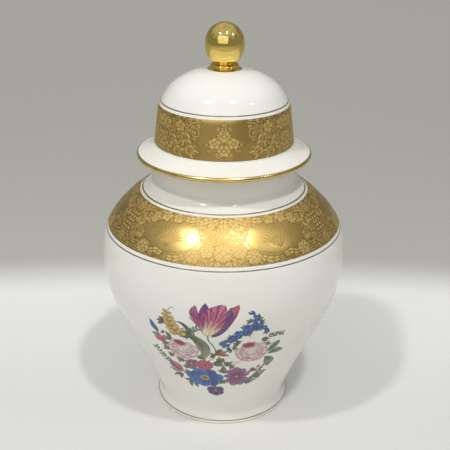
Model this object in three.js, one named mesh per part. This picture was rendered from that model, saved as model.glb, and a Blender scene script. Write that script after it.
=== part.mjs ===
// Lidded porcelain urn of temple-jar form: a footed jar with a short neck, a domed lid whose bezel
// drops into it, and a turned finial screwed through the crown of the lid. Millimetres, +Z up. The
// axis of the pot is the Z axis, and its foot stands on z = 0.
import * as THREE from 'three';

// Driving dimensions of the jar.
const FOOT_RADIUS = 62.9;
const FOOT_EDGE = 1.4;
const FOOT_RING_WIDTH = 9.0;
const FOOT_RECESS = 5.2;
const FOOT_RECESS_SLOPE = 3.0;
const FLOOR_THICKNESS = 5.6;
const FLOOR_COVE = { run: 7.0, rise: 3.2, inset: 1.5 };
const WALL = 4.8;
const NECK_RADIUS = 61.6;
const MOUTH_Z = 244.8;

// Side of the jar from the foot to the neck, as (radius, height) points of one smooth curve.
const JAR_SIDE = [
  [62.4, 2.4], [60.9, 6.5], [60.5, 11.5], [64.2, 24.0], [75.1, 50.5], [90.5, 82.5], [101.9, 109.0],
  [108.2, 132.5], [109.3, 153.0], [107.5, 167.5], [104.2, 178.2], [97.4, 189.0], [87.8, 199.5],
  [80.6, 205.7], [70.6, 212.75], [66.4, 215.2], [63.0, 218.6], [NECK_RADIUS, 224.0],
];

// Driving dimensions of the lid. Its own zero height is the seat, the plane that rests on the mouth.
const SEAT_CLEARANCE = 0.05;
const LID_WALL = 4.6;
const BEZEL_PLAY = 1.2;
const BEZEL_WALL = 3.8;
const BEZEL_DEPTH = 13.5;
const BEZEL_CHAMFER = 1.2;
const BEZEL_ROOT = 1.5;
const SEAT_OVERHANG = 5.5;
const CROWN_Z = 71.05;
const CROWN_RADIUS = 14.9;
const CROWN_THICKNESS = 5.5;
const CROWN_INSET = 2.0;
const STUD_HOLE_RADIUS = 3.4;
const BAND_WALL_FOOT = [60.5, 8.9];
const BAND_WALL_TOP = [57.0, 38.0];
const RIM_RADIUS = 76.1;
const RIM_BEAD = 2.1;
const RIM_BEAD_Z = -2.0;
const RIM_TURN = [-110, 70];

// Rounded shoulder over the lid's straight wall, the dome from there to the finial's seat, and the
// flange from the wall's foot to its edge.
const SHOULDER = [BAND_WALL_TOP, [56.5, 40.4], [55.7, 42.4]];
const DOME = [
  [54.7, 44.3], [52.4, 48.4], [49.3, 53.3], [45.2, 57.9], [39.4, 62.2], [31.9, 66.2], [23.4, 69.4],
  [CROWN_RADIUS, CROWN_Z],
];
const FLANGE_TOP = [[61.4, 7.4], [63.8, 5.6], [67.0, 3.6], [70.4, 1.95], [73.2, 0.75]];

// Gilding: a fired layer on the glaze, made here just thick enough to be a solid. Bands and lines
// are given by their lower and upper heights.
const GILT_GAP = 0.05;
const GILT = 0.2;
const SHOULDER_BAND = [179.8, 210.2];
const NECK_LINE = [211.5, 212.2];
const BELLY_LINE = [176.1, 177.1];
const FOOT_LINE = [2.5, 3.4];
const LID_BAND = [8.9, 42.1];
const LID_LINE = [44.3, 45.2];

// Finial and the fasteners that hold it.
const BALL_RADIUS = 16.9;
const BALL_RISE = 18.0;
const BALL_DROP = 20.6;
const BALL_FLAT_RADIUS = 10.0;
const COLLAR_RADIUS = 14.8;
const COLLAR_EDGE = 0.4;
const COLLAR_SKIRT = 1.9;
const COLLAR_GROOVE_RADIUS = 11.7;
const COLLAR_BEAD_RADIUS = 12.1;
const COLLAR_BEAD = 1.1;
const COLLAR_BEAD_TURN = [-60, 80];
const COLLAR_HEIGHT = 4.4;
const STUD_RADIUS = 3.0;
const BORE_RADIUS = 3.2;
const STUD_IN_BALL = 10.0;
const STUD_BELOW_NUT = 3.0;
const CUSHION = { radius: 11.0, height: 1.6 };
const WASHER = { radius: 9.0, height: 1.2 };
const NUT = { flats: 10.0, height: 5.0 };
const REST = 0.02;

// Facets round the porcelain, and round the finial and its fasteners.
const AROUND = 44;
const AROUND_FINIAL = 24;

// Facet lengths along an outline, degrees of arc to a facet on small mouldings, and facets from the
// ball's widest ring to each end.
const SIDE_FACET = 12;
const HOLLOW_FACET = 24;
const DOME_FACET = 6;
const SHORTEST_FACET = 0.15;
const MOULDING_STEP = 36;
const BALL_STEPS = 7;

const porcelain = new THREE.MeshStandardMaterial({ color: 0xeceae1, roughness: 0.12, metalness: 0.0 });
const etchedGilt = new THREE.MeshStandardMaterial({ color: 0xb8964e, roughness: 0.38, metalness: 1.0 });
const brightGilt = new THREE.MeshStandardMaterial({ color: 0xc9a75c, roughness: 0.2, metalness: 1.0 });
const polishedBrass = new THREE.MeshStandardMaterial({ color: 0xdcb458, roughness: 0.08, metalness: 1.0 });
const steel = new THREE.MeshStandardMaterial({ color: 0xa9a9a6, roughness: 0.4, metalness: 1.0 });
const cork = new THREE.MeshStandardMaterial({ color: 0xa98056, roughness: 0.9, metalness: 0.0 });

/** A point of an outline: radius from the axis and height. */
const at = (radius, height) => new THREE.Vector2(radius, height);

/** Smooth curve through outline points, in straight facets of about the given length. */
function smooth(points, facet) {
  const knots = points.map(([radius, height]) => at(radius, height));
  const curve = new THREE.SplineCurve(knots);
  const spans = knots.length - 1;
  const outline = [];
  for (let span = 0; span < spans; span += 1) {
    const steps = Math.max(1, Math.round(knots[span].distanceTo(knots[span + 1]) / facet));
    for (let step = 0; step < steps; step += 1) outline.push(curve.getPoint((span + step / steps) / spans));
  }
  return [...outline, knots[spans].clone()];
}

/** Rising arc of an outline about a centre, with its angles in degrees from straight out. */
function arc(radius, height, size, [from, to]) {
  const [start, end] = [THREE.MathUtils.degToRad(from), THREE.MathUtils.degToRad(to)];
  const curve = new THREE.EllipseCurve(radius, height, size, size, start, end);
  return curve.getPoints(Math.round((to - from) / MOULDING_STEP));
}

/** An outline moved sideways by a distance, to its right as seen along its own direction. */
function offset(points, distance) {
  return points.map((point, i) => {
    const before = points[Math.max(i - 1, 0)];
    const after = points[Math.min(i + 1, points.length - 1)];
    const run = after.clone().sub(before).normalize();
    return at(point.x + run.y * distance, point.y - run.x * distance);
  });
}

/** The part of a rising outline between two heights, cut exactly at both. */
function between(points, [low, high]) {
  const cut = (height) => {
    const i = points.findIndex((point, k) => k > 0 && point.y >= height);
    const [below, above] = [points[i - 1], points[i]];
    return below.clone().lerp(above, (height - below.y) / (above.y - below.y));
  };
  const margin = Math.min(high - low, 1) * SHORTEST_FACET;
  const inside = points.filter((point) => point.y > low + margin && point.y < high - margin);
  return [cut(low), ...inside, cut(high)];
}

/** A mesh with a name. */
function named(name, geometry, material) {
  const mesh = new THREE.Mesh(geometry, material);
  mesh.name = name;
  return mesh;
}

/** A solid turned about the Z axis from an outline that starts and ends on the axis, or closes. */
function turned(name, outline, material, around = AROUND) {
  const rising = THREE.ShapeUtils.area(outline) > 0 ? outline : outline.slice().reverse();
  const profile = rising[0].x === 0 ? rising : [...rising, rising[0].clone()];
  const geometry = new THREE.LatheGeometry(profile, around);
  geometry.rotateX(Math.PI / 2);
  return named(name, geometry, material);
}

/** A gilt layer lying on a stretch of an outline whose outer side is on its right. */
function gilding(name, stretch, material) {
  const under = offset(stretch, GILT_GAP);
  const over = offset(stretch, GILT_GAP + GILT);
  return turned(name, [...over, ...under.reverse()], material);
}

/** The jar: foot ring, side, neck and rounded lip outside, and the hollow down to its floor. */
function makeJar(side) {
  const lipRadius = WALL / 2;
  const hollow = offset(smooth(JAR_SIDE.slice(2), HOLLOW_FACET), -WALL).reverse();
  const hollowFoot = hollow.pop();
  const hollowFloor = FOOT_RECESS + FLOOR_THICKNESS;
  return turned('jar', [
    at(0, FOOT_RECESS),
    at(FOOT_RADIUS - FOOT_RING_WIDTH - FOOT_RECESS_SLOPE, FOOT_RECESS),
    at(FOOT_RADIUS - FOOT_RING_WIDTH, 0),
    ...arc(FOOT_RADIUS - FOOT_EDGE, FOOT_EDGE, FOOT_EDGE, [-90, 0]),
    ...side,
    ...arc(NECK_RADIUS - lipRadius, MOUTH_Z - lipRadius, lipRadius, [0, 180]),
    ...hollow,
    at(hollowFoot.x - FLOOR_COVE.inset, hollowFloor + FLOOR_COVE.rise),
    at(hollowFoot.x - FLOOR_COVE.run, hollowFloor),
    at(0, hollowFloor),
  ], porcelain);
}

/** The rolled edge of the flange, from its underside round to its top. */
const rimEdge = () => arc(RIM_RADIUS - RIM_BEAD, RIM_BEAD_Z, RIM_BEAD, RIM_TURN);

/** The lid: dome, shoulder, wall, flange and rolled edge outside, bezel and hollow underneath. */
function makeLid(side) {
  const bezelRadius = NECK_RADIUS - WALL - BEZEL_PLAY;
  const hollowDome = offset(smooth(DOME, SIDE_FACET).slice(0, -1), -LID_WALL);
  const [topRadius, topZ] = BAND_WALL_TOP;
  const [footRadius, footZ] = BAND_WALL_FOOT;
  return turned('lid', [
    at(STUD_HOLE_RADIUS, CROWN_Z),
    ...side.slice().reverse(),
    ...smooth(FLANGE_TOP, SIDE_FACET),
    ...rimEdge().reverse(),
    at(NECK_RADIUS + SEAT_OVERHANG, 0),
    at(bezelRadius, 0),
    at(bezelRadius, BEZEL_CHAMFER - BEZEL_DEPTH),
    at(bezelRadius - BEZEL_CHAMFER, -BEZEL_DEPTH),
    at(bezelRadius - BEZEL_WALL, -BEZEL_DEPTH),
    at(bezelRadius - BEZEL_WALL, BEZEL_ROOT),
    at(footRadius - LID_WALL, footZ),
    at(topRadius - LID_WALL, topZ),
    ...hollowDome,
    at(CROWN_RADIUS - CROWN_INSET, CROWN_Z - CROWN_THICKNESS),
    at(STUD_HOLE_RADIUS, CROWN_Z - CROWN_THICKNESS),
  ], porcelain);
}

/** A flat ring with a bore for the stud, hung below a height. */
function makeRing(name, { radius, height }, top, material) {
  const outline = [
    at(BORE_RADIUS, top - height), at(radius, top - height), at(radius, top), at(BORE_RADIUS, top),
  ];
  return turned(name, outline, material, AROUND_FINIAL);
}

/** The hexagon nut, hung below a height. */
function makeNut(top) {
  const corner = NUT.flats / 2 / Math.cos(Math.PI / 6);
  const hexagon = new THREE.Shape();
  for (let side = 0; side < 6; side += 1) {
    const angle = side * Math.PI / 3;
    const [x, y] = [corner * Math.cos(angle), corner * Math.sin(angle)];
    if (side === 0) hexagon.moveTo(x, y);
    else hexagon.lineTo(x, y);
  }
  hexagon.closePath();
  hexagon.holes.push(new THREE.Path().absarc(0, 0, BORE_RADIUS, 0, 2 * Math.PI, true));
  const geometry = new THREE.ExtrudeGeometry(hexagon, {
    depth: NUT.height, bevelEnabled: false, curveSegments: AROUND_FINIAL,
  });
  const nut = named('finial_nut', geometry, steel);
  nut.position.z = top - NUT.height;
  return nut;
}

/** The collar under the ball: a sloped skirt, a groove, a bead and the flat that the ball stands on. */
function makeCollar(bottom) {
  const grooveZ = bottom + COLLAR_SKIRT;
  return turned('finial_collar', [
    at(BORE_RADIUS, bottom),
    at(COLLAR_RADIUS, bottom),
    at(COLLAR_RADIUS, bottom + COLLAR_EDGE),
    at(COLLAR_GROOVE_RADIUS, grooveZ),
    ...arc(COLLAR_BEAD_RADIUS - COLLAR_BEAD, grooveZ + COLLAR_BEAD, COLLAR_BEAD, COLLAR_BEAD_TURN),
    at(BALL_FLAT_RADIUS, bottom + COLLAR_HEIGHT),
    at(BORE_RADIUS, bottom + COLLAR_HEIGHT),
  ], polishedBrass, AROUND_FINIAL);
}

/** The ball: taller than it is wide, cut flat where it meets the collar and bored for the stud. */
function makeBall(flatZ) {
  const flatTurn = Math.acos(BALL_FLAT_RADIUS / BALL_RADIUS);
  const centreZ = flatZ + BALL_DROP * Math.sin(flatTurn);
  const lower = new THREE.EllipseCurve(0, centreZ, BALL_RADIUS, BALL_DROP, -flatTurn, 0);
  const upper = new THREE.EllipseCurve(0, centreZ, BALL_RADIUS, BALL_RISE, 0, Math.PI / 2);
  return turned('finial_ball', [
    at(0, flatZ + STUD_IN_BALL + REST),
    at(BORE_RADIUS, flatZ + STUD_IN_BALL + REST),
    at(BORE_RADIUS, flatZ),
    ...lower.getPoints(BALL_STEPS),
    ...upper.getPoints(BALL_STEPS).slice(1, -1),
    at(0, centreZ + BALL_RISE),
  ], polishedBrass, AROUND_FINIAL);
}

const jarSide = smooth(JAR_SIDE, SIDE_FACET);
const jar = new THREE.Group();
jar.add(
  makeJar(jarSide),
  gilding('foot_gilt_line', between(jarSide, FOOT_LINE), brightGilt),
  gilding('belly_gilt_line', between(jarSide, BELLY_LINE), brightGilt),
  gilding('shoulder_gilt_band', between(jarSide, SHOULDER_BAND), etchedGilt),
  gilding('neck_gilt_line', between(jarSide, NECK_LINE), brightGilt),
);

// The fasteners hang one under the other below the crown, and the collar and ball stand on it.
const cushionTop = CROWN_Z - CROWN_THICKNESS - REST;
const washerTop = cushionTop - CUSHION.height - REST;
const nutTop = washerTop - WASHER.height - REST;
const studBottom = nutTop - NUT.height - STUD_BELOW_NUT;
const collarBottom = CROWN_Z + REST;
const ballFlat = collarBottom + COLLAR_HEIGHT + REST;
const studTop = ballFlat + STUD_IN_BALL;

const lidSide = [at(...BAND_WALL_FOOT), ...smooth([...SHOULDER, ...DOME], DOME_FACET)];
const lid = new THREE.Group();
lid.position.z = MOUTH_Z + SEAT_CLEARANCE;
lid.add(
  makeLid(lidSide),
  gilding('lid_gilt_band', between(lidSide, LID_BAND), etchedGilt),
  gilding('lid_gilt_line', between(lidSide, LID_LINE), brightGilt),
  gilding('lid_rim_gilding', rimEdge(), brightGilt),
  makeCollar(collarBottom),
  makeBall(ballFlat),
  turned('finial_stud', [
    at(0, studBottom), at(STUD_RADIUS, studBottom), at(STUD_RADIUS, studTop), at(0, studTop),
  ], steel, AROUND_FINIAL),
  makeRing('cushion_washer', CUSHION, cushionTop, cork),
  makeRing('steel_washer', WASHER, washerTop, steel),
  makeNut(nutTop),
);

const urn = new THREE.Group();
urn.add(jar, lid);

export default urn;
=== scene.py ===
"""Lidded porcelain urn: footed jar, domed lid, etched gold bands, painted flowers and a gilt finial.

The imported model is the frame. Each piece is a fine surface in the place of the node that it stands
for. Sizes in the classes are millimetres, and the meshes are made in metres, +Z up. The painted
flowers face -Y, and angles round the axis count from there towards +X.
"""
import logging
import math
from collections.abc import Sequence
from dataclasses import dataclass
from enum import Enum
from typing import ClassVar

import bpy
import numpy as np
from bpy.types import Material, NodeSocket, Object, World
from mathutils import Matrix, Vector


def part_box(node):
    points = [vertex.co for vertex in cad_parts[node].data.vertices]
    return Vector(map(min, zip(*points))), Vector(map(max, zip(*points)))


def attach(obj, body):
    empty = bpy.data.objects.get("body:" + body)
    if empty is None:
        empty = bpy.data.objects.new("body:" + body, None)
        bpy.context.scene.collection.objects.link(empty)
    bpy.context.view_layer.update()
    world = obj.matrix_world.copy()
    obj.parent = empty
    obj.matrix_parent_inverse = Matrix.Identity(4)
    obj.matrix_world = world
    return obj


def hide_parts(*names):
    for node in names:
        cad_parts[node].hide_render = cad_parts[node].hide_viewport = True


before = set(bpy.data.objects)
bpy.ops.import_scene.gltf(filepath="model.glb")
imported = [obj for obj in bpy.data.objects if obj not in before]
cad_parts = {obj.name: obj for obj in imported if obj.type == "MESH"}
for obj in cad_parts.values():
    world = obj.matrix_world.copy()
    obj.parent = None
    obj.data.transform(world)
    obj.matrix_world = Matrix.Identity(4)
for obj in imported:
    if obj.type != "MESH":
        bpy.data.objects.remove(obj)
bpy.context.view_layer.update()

LOG = logging.getLogger("urn")
MM = 0.001
CREASE = math.radians(38)
AXIS_REACH = 1e-6

Point = tuple[float, float]
Place = tuple[float, float, float]
Colour = tuple[float, float, float]
Grid = np.ndarray
Line = Sequence[Point | Grid] | Grid
Window = tuple[slice, slice]
NOWHERE: Window = (slice(0, 0), slice(0, 0))


def srgb(red: int, green: int, blue: int) -> Colour:
    """A colour written as screen values from 0 to 255, in linear light."""
    shares = (value / 255 for value in (red, green, blue))
    return tuple(s / 12.92 if s <= 0.04045 else ((s + 0.055) / 1.055) ** 2.4 for s in shares)


def smooth(points: Line, spacing: float) -> Grid:
    """Samples a smooth curve through points.

    Args:
        points: Places that the curve passes through, in order.
        spacing: Length of one step along the curve.

    Returns:
        The samples, one row each.
    """
    knots = np.array(points, float)
    padded = np.vstack([knots[:1], knots, knots[-1:]])
    samples = []
    for first in range(len(knots) - 1):
        before, here, there, after = padded[first:first + 4]
        steps = max(1, round(float(np.hypot(*(there - here))) / spacing))
        slope = there - before
        bend = 2 * before - 5 * here + 4 * there - after
        twist = 3 * here - before - 3 * there + after
        for t in np.arange(steps) / steps:
            samples.append(here + 0.5 * (slope * t + bend * t**2 + twist * t**3))
    return np.array([*samples, knots[-1]])


def arc(centre: Point, size: float, start: float, end: float, step: float = 12.0) -> Grid:
    """Samples an arc.

    Args:
        centre: Centre of the arc.
        size: Its radius.
        start: Angle of its first point in degrees, from straight out.
        end: Angle of its last point.
        step: Degrees from one sample to the next.

    Returns:
        The samples, one row each.
    """
    count = max(2, round(abs(end - start) / step) + 1)
    angles = np.radians(np.linspace(start, end, count))
    return np.column_stack([centre[0] + size * np.cos(angles), centre[1] + size * np.sin(angles)])


def beside(outline: Grid, distance: float) -> Grid:
    """Moves an outline sideways.

    Args:
        outline: Its points, one row each.
        distance: How far it moves, to its right as seen along its own direction.

    Returns:
        The moved points.
    """
    run = np.gradient(outline, axis=0)
    run /= np.hypot(run[:, 0], run[:, 1])[:, None]
    return outline + distance * np.column_stack([run[:, 1], -run[:, 0]])


def divided(outline: Grid, spacing: float) -> Grid:
    """Adds points to the straight runs of an outline.

    Args:
        outline: Its points, one row each.
        spacing: The longest step that it keeps.

    Returns:
        All points.
    """
    parts = []
    for here, there in zip(outline[:-1], outline[1:]):
        steps = max(1, math.ceil(float(np.hypot(*(there - here))) / spacing))
        parts.append(here + (there - here) * (np.arange(steps) / steps)[:, None])
    return np.vstack([*parts, outline[-1:]])


def grid_faces(rows: int, columns: int, wrap: bool) -> Grid:
    """Corner numbers of the quads of a grid of points.

    Args:
        rows: Rows of points.
        columns: Points in each row.
        wrap: True where each row closes on itself.

    Returns:
        One row of four corner numbers for each quad.
    """
    across = np.arange(columns if wrap else columns - 1)
    first = np.arange(rows - 1)[:, None] * columns + across
    second = np.arange(rows - 1)[:, None] * columns + (across + 1) % columns
    return np.stack([first, second, second + columns, first + columns], -1).reshape(-1, 4)


def closed_faces(rows: int, around: int) -> list[list[int]]:
    """Faces of rows of points that close round the axis, also from the last row to the first."""
    return (grid_faces(rows + 1, around, wrap=True) % (rows * around)).tolist()


def travelled(curve: Grid) -> Grid:
    """Length of a curve from its start to each of its points."""
    return np.concatenate([[0], np.cumsum(np.hypot(*np.diff(curve, axis=0).T))])


def points_at(curve: Grid, run: Grid, place: Grid) -> Grid:
    """Points of a curve at places along it, where run is the place of each point that it has."""
    return np.column_stack([np.interp(place, run, curve[:, axis]) for axis in (0, 1)])


def rising_part(curve: Grid, low: float, high: float, spacing: float) -> Grid:
    """Cuts a rising curve between two heights and divides it evenly.

    Args:
        curve: Its points, one row each.
        low: The lower height.
        high: The upper height.
        spacing: About the length of a step.

    Returns:
        The points of that part.
    """
    run = travelled(curve)
    ends = np.interp([low, high], curve[:, 1], run)
    return points_at(curve, run, np.linspace(*ends, max(2, round((ends[1] - ends[0]) / spacing) + 1)))


def direction(angle: float) -> Grid:
    """The unit vector at an angle in degrees."""
    turn = math.radians(angle)
    return np.array([math.cos(turn), math.sin(turn)])


def heading(line: Grid, index: int) -> tuple[Grid, Grid]:
    """Finds how a line runs at one of its points.

    Args:
        line: Its points, one row each.
        index: The number of the point.

    Returns:
        The unit vectors along the line and to its left.
    """
    run = line[index + 1] - line[index]
    run /= np.hypot(*run)
    return run, np.array([-run[1], run[0]])


def clamp(values: Grid) -> Grid:
    """Values held between 0 and 1."""
    return np.clip(values, 0, 1)


def stripes(phase: Grid, sharpness: float) -> Grid:
    """Soft stripes from 0 to 1, one for each turn of a phase in radians."""
    return (0.5 + 0.5 * np.cos(phase)) ** sharpness


def make_piece(
    name: str, points: Grid, faces: list[list[int]], marks: dict[str, Grid] | None = None
) -> Object:
    """Makes a smooth mesh object.

    Args:
        name: Name of the piece.
        points: Its corners in millimetres, one row each.
        faces: Corner numbers of each face, turning left as seen from outside.
        marks: Values kept on the corners under a name, numbers or colours, for its finish to read.

    Returns:
        The object, linked to the scene.
    """
    mesh = bpy.data.meshes.new(name)
    mesh.from_pydata((points * MM).tolist(), [], faces)
    for label, values in (marks or {}).items():
        kind, key = "FLOAT", "value"
        if values.ndim > 1:
            kind, key = "FLOAT_COLOR", "color"
            values = np.column_stack([values, np.ones(len(values))])
        store = mesh.attributes.new(label, kind, "POINT").data
        store.foreach_set(key, values.astype(np.float32).ravel())
    mesh.shade_smooth()
    mesh.set_sharp_from_angle(angle=CREASE)
    piece = bpy.data.objects.new(name, mesh)
    bpy.context.collection.objects.link(piece)
    return piece


def full_turn(around: int) -> Grid:
    """Angles of even steps round the axis."""
    return 2 * math.pi * np.arange(around) / around


def carried(radius: Grid, height: Grid, angle: Grid) -> Grid:
    """Points carried round the axis to angles from the front, by row, column and coordinate."""
    return np.stack([radius * np.sin(angle), -radius * np.cos(angle), height + 0 * angle], -1)


def ring_points(outline: Grid, around: int) -> Grid:
    """Points of an outline carried round the whole axis."""
    return carried(outline[:, :1], outline[:, 1:], full_turn(around))


def turned(
    name: str, outline: Grid, around: int, marks: dict[str, Grid] | None = None
) -> Object:
    """Turns a solid about the axis.

    Args:
        name: Name of the piece.
        outline: Radius and height of each point of the section. It starts and ends on the axis, or
            closes on itself.
        around: Facets round the axis.
        marks: One value for each point of the outline, by name.

    Returns:
        The piece.
    """
    closing = np.roll(outline, -1, axis=0)
    area = float(np.sum(outline[:, 0] * closing[:, 1] - closing[:, 0] * outline[:, 1]))
    order = slice(None) if area > 0 else slice(None, None, -1)
    outline = outline[order]
    marks = {label: values[order] for label, values in (marks or {}).items()}
    on_axis = outline[0, 0] < AXIS_REACH
    body = slice(1, -1) if on_axis else slice(None)
    rings = outline[body]
    points = ring_points(rings, around).reshape(-1, 3)
    last = len(points) - around
    if on_axis:
        faces = grid_faces(len(rings), around, wrap=True).tolist()
        for column in range(around):
            beyond = (column + 1) % around
            faces.append([len(points), beyond, column])
            faces.append([last + column, last + beyond, len(points) + 1])
        points = np.vstack([points, [[0, 0, outline[0, 1]], [0, 0, outline[-1, 1]]]])
    else:
        faces = closed_faces(len(rings), around)
    spread = {}
    for label, values in marks.items():
        ends = [values[0], values[-1]] if on_axis else []
        spread[label] = np.concatenate([np.repeat(values[body], around), ends])
    return make_piece(name, points, faces, spread)


class Slot(Enum):
    """Finishes that the record names."""

    PORCELAIN = "porcelain"
    ETCHED = "etched_gilding"
    BRIGHT = "bright_gilding"
    BRASS = "polished_brass"
    STEEL = "steel"
    CORK = "cork"


class Body(Enum):
    """Moving bodies of the frame."""

    JAR = "jar"
    LID = "lid"


class Wire:
    """A node's output in a sum: each operator adds the Math node that works it out."""

    def __init__(self, shader: "Shader", socket: NodeSocket) -> None:
        """Keeps the shader that the wire belongs to and the socket that it starts from."""
        self.shader = shader
        self.socket = socket

    def _math(self, operation: str, *values: "Wire | float") -> "Wire":
        """The result of a Math node on values."""
        return self.shader.node("Math", {"operation": operation}, dict(enumerate(values)))

    def __add__(self, other: "Wire | float") -> "Wire":
        """Sum of two values."""
        return self._math("ADD", self, other)

    def __sub__(self, other: "Wire | float") -> "Wire":
        """This value less another."""
        return self._math("SUBTRACT", self, other)

    def __rsub__(self, other: float) -> "Wire":
        """A number less this value."""
        return self._math("SUBTRACT", other, self)

    def __mul__(self, other: "Wire | float") -> "Wire":
        """Product of two values."""
        return self._math("MULTIPLY", self, other)

    __radd__ = __add__
    __rmul__ = __mul__

    def eased(self, low: float, high: float) -> "Wire":
        """Rises softly with the value.

        Args:
            low: The value from which it rises.
            high: The value at which it ends.

        Returns:
            A wire from 0 to 1.
        """
        settings = {"interpolation_type": "SMOOTHSTEP"}
        inputs = {"Value": self, "From Min": low, "From Max": high}
        return self.shader.node("MapRange", settings, inputs)


class Shader:
    """The node tree of a material or of the room's light while it is being written."""

    def __init__(self, owner: Material | World, last: str, coordinate: str) -> None:
        """Starts on an owner's own nodes.

        Args:
            owner: The material or world.
            last: Name of the node that everything ends in.
            coordinate: The texture coordinate that stands for the place.
        """
        owner.use_nodes = True
        self.owner = owner
        self.tree = owner.node_tree
        self.last = self.tree.nodes[last]
        self.coordinate = coordinate

    @classmethod
    def material(cls, name: str) -> "Shader":
        """Starts a new material."""
        return cls(bpy.data.materials.new(name), "Principled BSDF", "Object")

    def node(
        self,
        kind: str,
        settings: dict[str, object] | None = None,
        inputs: "dict[str | int, Wire | float | Colour] | None" = None,
        output: str | int = 0,
    ) -> Wire:
        """Adds a node.

        Args:
            kind: Blender's name for its type, without ShaderNode before it.
            settings: Its settings, which are made before its sockets are filled.
            inputs: Values or wires for its sockets, by name or number.
            output: The socket that the wire starts from.

        Returns:
            A wire from that socket.
        """
        made = self.tree.nodes.new(f"ShaderNode{kind}")
        for name, value in (settings or {}).items():
            setattr(made, name, value)
        for name, value in (inputs or {}).items():
            self.fill(made.inputs[name], value)
        return Wire(self, made.outputs[output])

    def fill(self, socket: NodeSocket, value: "Wire | float | Colour") -> None:
        """Links or sets one socket.

        Args:
            socket: The socket.
            value: A wire to link to it, or the value or colour that it keeps.
        """
        if isinstance(value, Wire):
            self.tree.links.new(value.socket, socket)
        elif socket.type == "RGBA":
            socket.default_value = (*value, 1.0)
        else:
            socket.default_value = value

    def place(self) -> Wire:
        """Place on the piece in metres from the frame's origin, or direction in the room."""
        return self.node("TexCoord", output=self.coordinate)

    def noise(self, scale: float, detail: float = 2.0, distortion: float = 0.0) -> Wire:
        """Noise from 0 to 1 with scale clouds in a metre, finer by detail, and stirred."""
        inputs = {"Vector": self.place(), "Scale": scale, "Detail": detail, "Distortion": distortion}
        return self.node("TexNoise", inputs=inputs, output="Fac")

    def cells(self, scale: float, output: str = "Distance") -> Wire:
        """Cells, scale of them in a metre: the distance from their middles."""
        inputs = {"Vector": self.place(), "Scale": scale}
        return self.node("TexVoronoi", inputs=inputs, output=output)

    def lots(self, scale: float, channel: str) -> Wire:
        """A number from 0 to 1 that each cell of that scale has drawn."""
        inputs = {"Color": self.cells(scale, "Color")}
        return self.node("SeparateColor", inputs=inputs, output=channel)

    def mark(self, name: str) -> Wire:
        """A number kept on the mesh under a name."""
        return self.node("Attribute", {"attribute_name": name}, output="Fac")

    def painted(self, name: str) -> Wire:
        """A colour kept on the mesh under a name."""
        return self.node("Attribute", {"attribute_name": name}, output="Color")

    def mix(self, factor: Wire, low: "Wire | Colour", high: "Wire | Colour") -> Wire:
        """Mixes the colour where a factor is 0 with the colour where it is 1."""
        inputs = {"Factor": factor, 6: low, 7: high}
        return self.node("Mix", {"data_type": "RGBA"}, inputs, output=2)

    def bump(self, height: Wire, distance: float) -> Wire:
        """The normal of a surface raised by a height, where distance is what 1 stands for in metres."""
        inputs = {"Height": height, "Distance": distance}
        return self.node("Bump", inputs=inputs, output="Normal")

    def finish(self, **sockets: "Wire | float | Colour") -> Material | World:
        """Fills the last node's sockets, with _ in place of a space, and gives the owner."""
        for name, value in sockets.items():
            self.fill(self.last.inputs[name.replace("_", " ")], value)
        return self.owner


@dataclass(frozen=True)
class Porcelain:
    """White porcelain under a clear glossy glaze, bare where the glaze was wiped off.

    Attributes:
        white: Colour of the glazed body.
        cream: Colour of its warmer patches.
        clay: Colour of the unglazed rings.
        speck: Colour of the rare pinhead specks of the kiln.
        thick: Colour that the brush's thicker dabs of enamel darken towards.
        gloss: Roughness of the glaze.
        dry: What the bare clay adds to the roughness.
        fired: What enamel adds to the roughness.
        bend: The glaze's index of refraction.
        wave: Depth of the glaze's long, shallow waves, in metres.
        grit: Share of that depth in the grain of the bare clay.
        speck_cells: Places in a metre where a speck can be.
        speck_size: Distances from its middle over which a speck fades.
        speck_lots: Lots over which a place comes to have a speck.
        speck_strength: How dark its middle is, from 0 to 1.
        stipple: Share of white that shows through the enamel's fine grain.
        dabs: How much darker the brush's thicker dabs of enamel are.
        painted: True where flowers are fired onto the glaze.
    """

    white: Colour = srgb(244, 243, 238)
    cream: Colour = srgb(240, 238, 229)
    clay: Colour = srgb(222, 214, 197)
    speck: Colour = srgb(120, 104, 84)
    thick: Colour = srgb(44, 34, 40)
    gloss: float = 0.07
    dry: float = 0.6
    fired: float = 0.09
    bend: float = 1.52
    wave: float = 0.00035
    grit: float = 0.15
    speck_cells: float = 95.0
    speck_size: Point = (0.03, 0.06)
    speck_lots: Point = (0.985, 0.99)
    speck_strength: float = 0.5
    stipple: float = 0.1
    dabs: float = 0.22
    painted: bool = False

    def material(self) -> Material:
        """The material: clouded white, sparse specks, matt clay under the foot and on the seats."""
        shader = Shader.material("painted_porcelain" if self.painted else "porcelain")
        bare = shader.mark("bare")
        cloud = shader.noise(9.0, detail=3.0, distortion=0.6).eased(0.35, 0.7)
        body = shader.mix(cloud, self.white, self.cream)
        chosen = shader.lots(self.speck_cells, "Red").eased(*self.speck_lots)
        fleck = (1 - shader.cells(self.speck_cells).eased(*self.speck_size)) * chosen
        body = shader.mix(fleck * self.speck_strength, body, self.speck)
        rough = self.gloss + shader.noise(60.0) * 0.05
        height = shader.noise(26.0, detail=1.0) * (1 - bare)
        if self.painted:
            grain = shader.noise(1500.0, detail=3.0).eased(0.4, 0.8) * self.stipple
            dabs = shader.noise(620.0).eased(0.45, 0.7) * self.dabs
            enamel = shader.mix(dabs, shader.mix(grain, shader.painted("paint"), self.white), self.thick)
            cover = shader.mark("cover")
            body = shader.mix(cover, body, enamel)
            rough = rough + cover * self.fired
        return shader.finish(
            Base_Color=shader.mix(bare, body, self.clay),
            Roughness=rough + bare * self.dry,
            IOR=self.bend,
            Normal=shader.bump(shader.noise(2600.0) * bare * self.grit + height, self.wave),
        )


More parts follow.
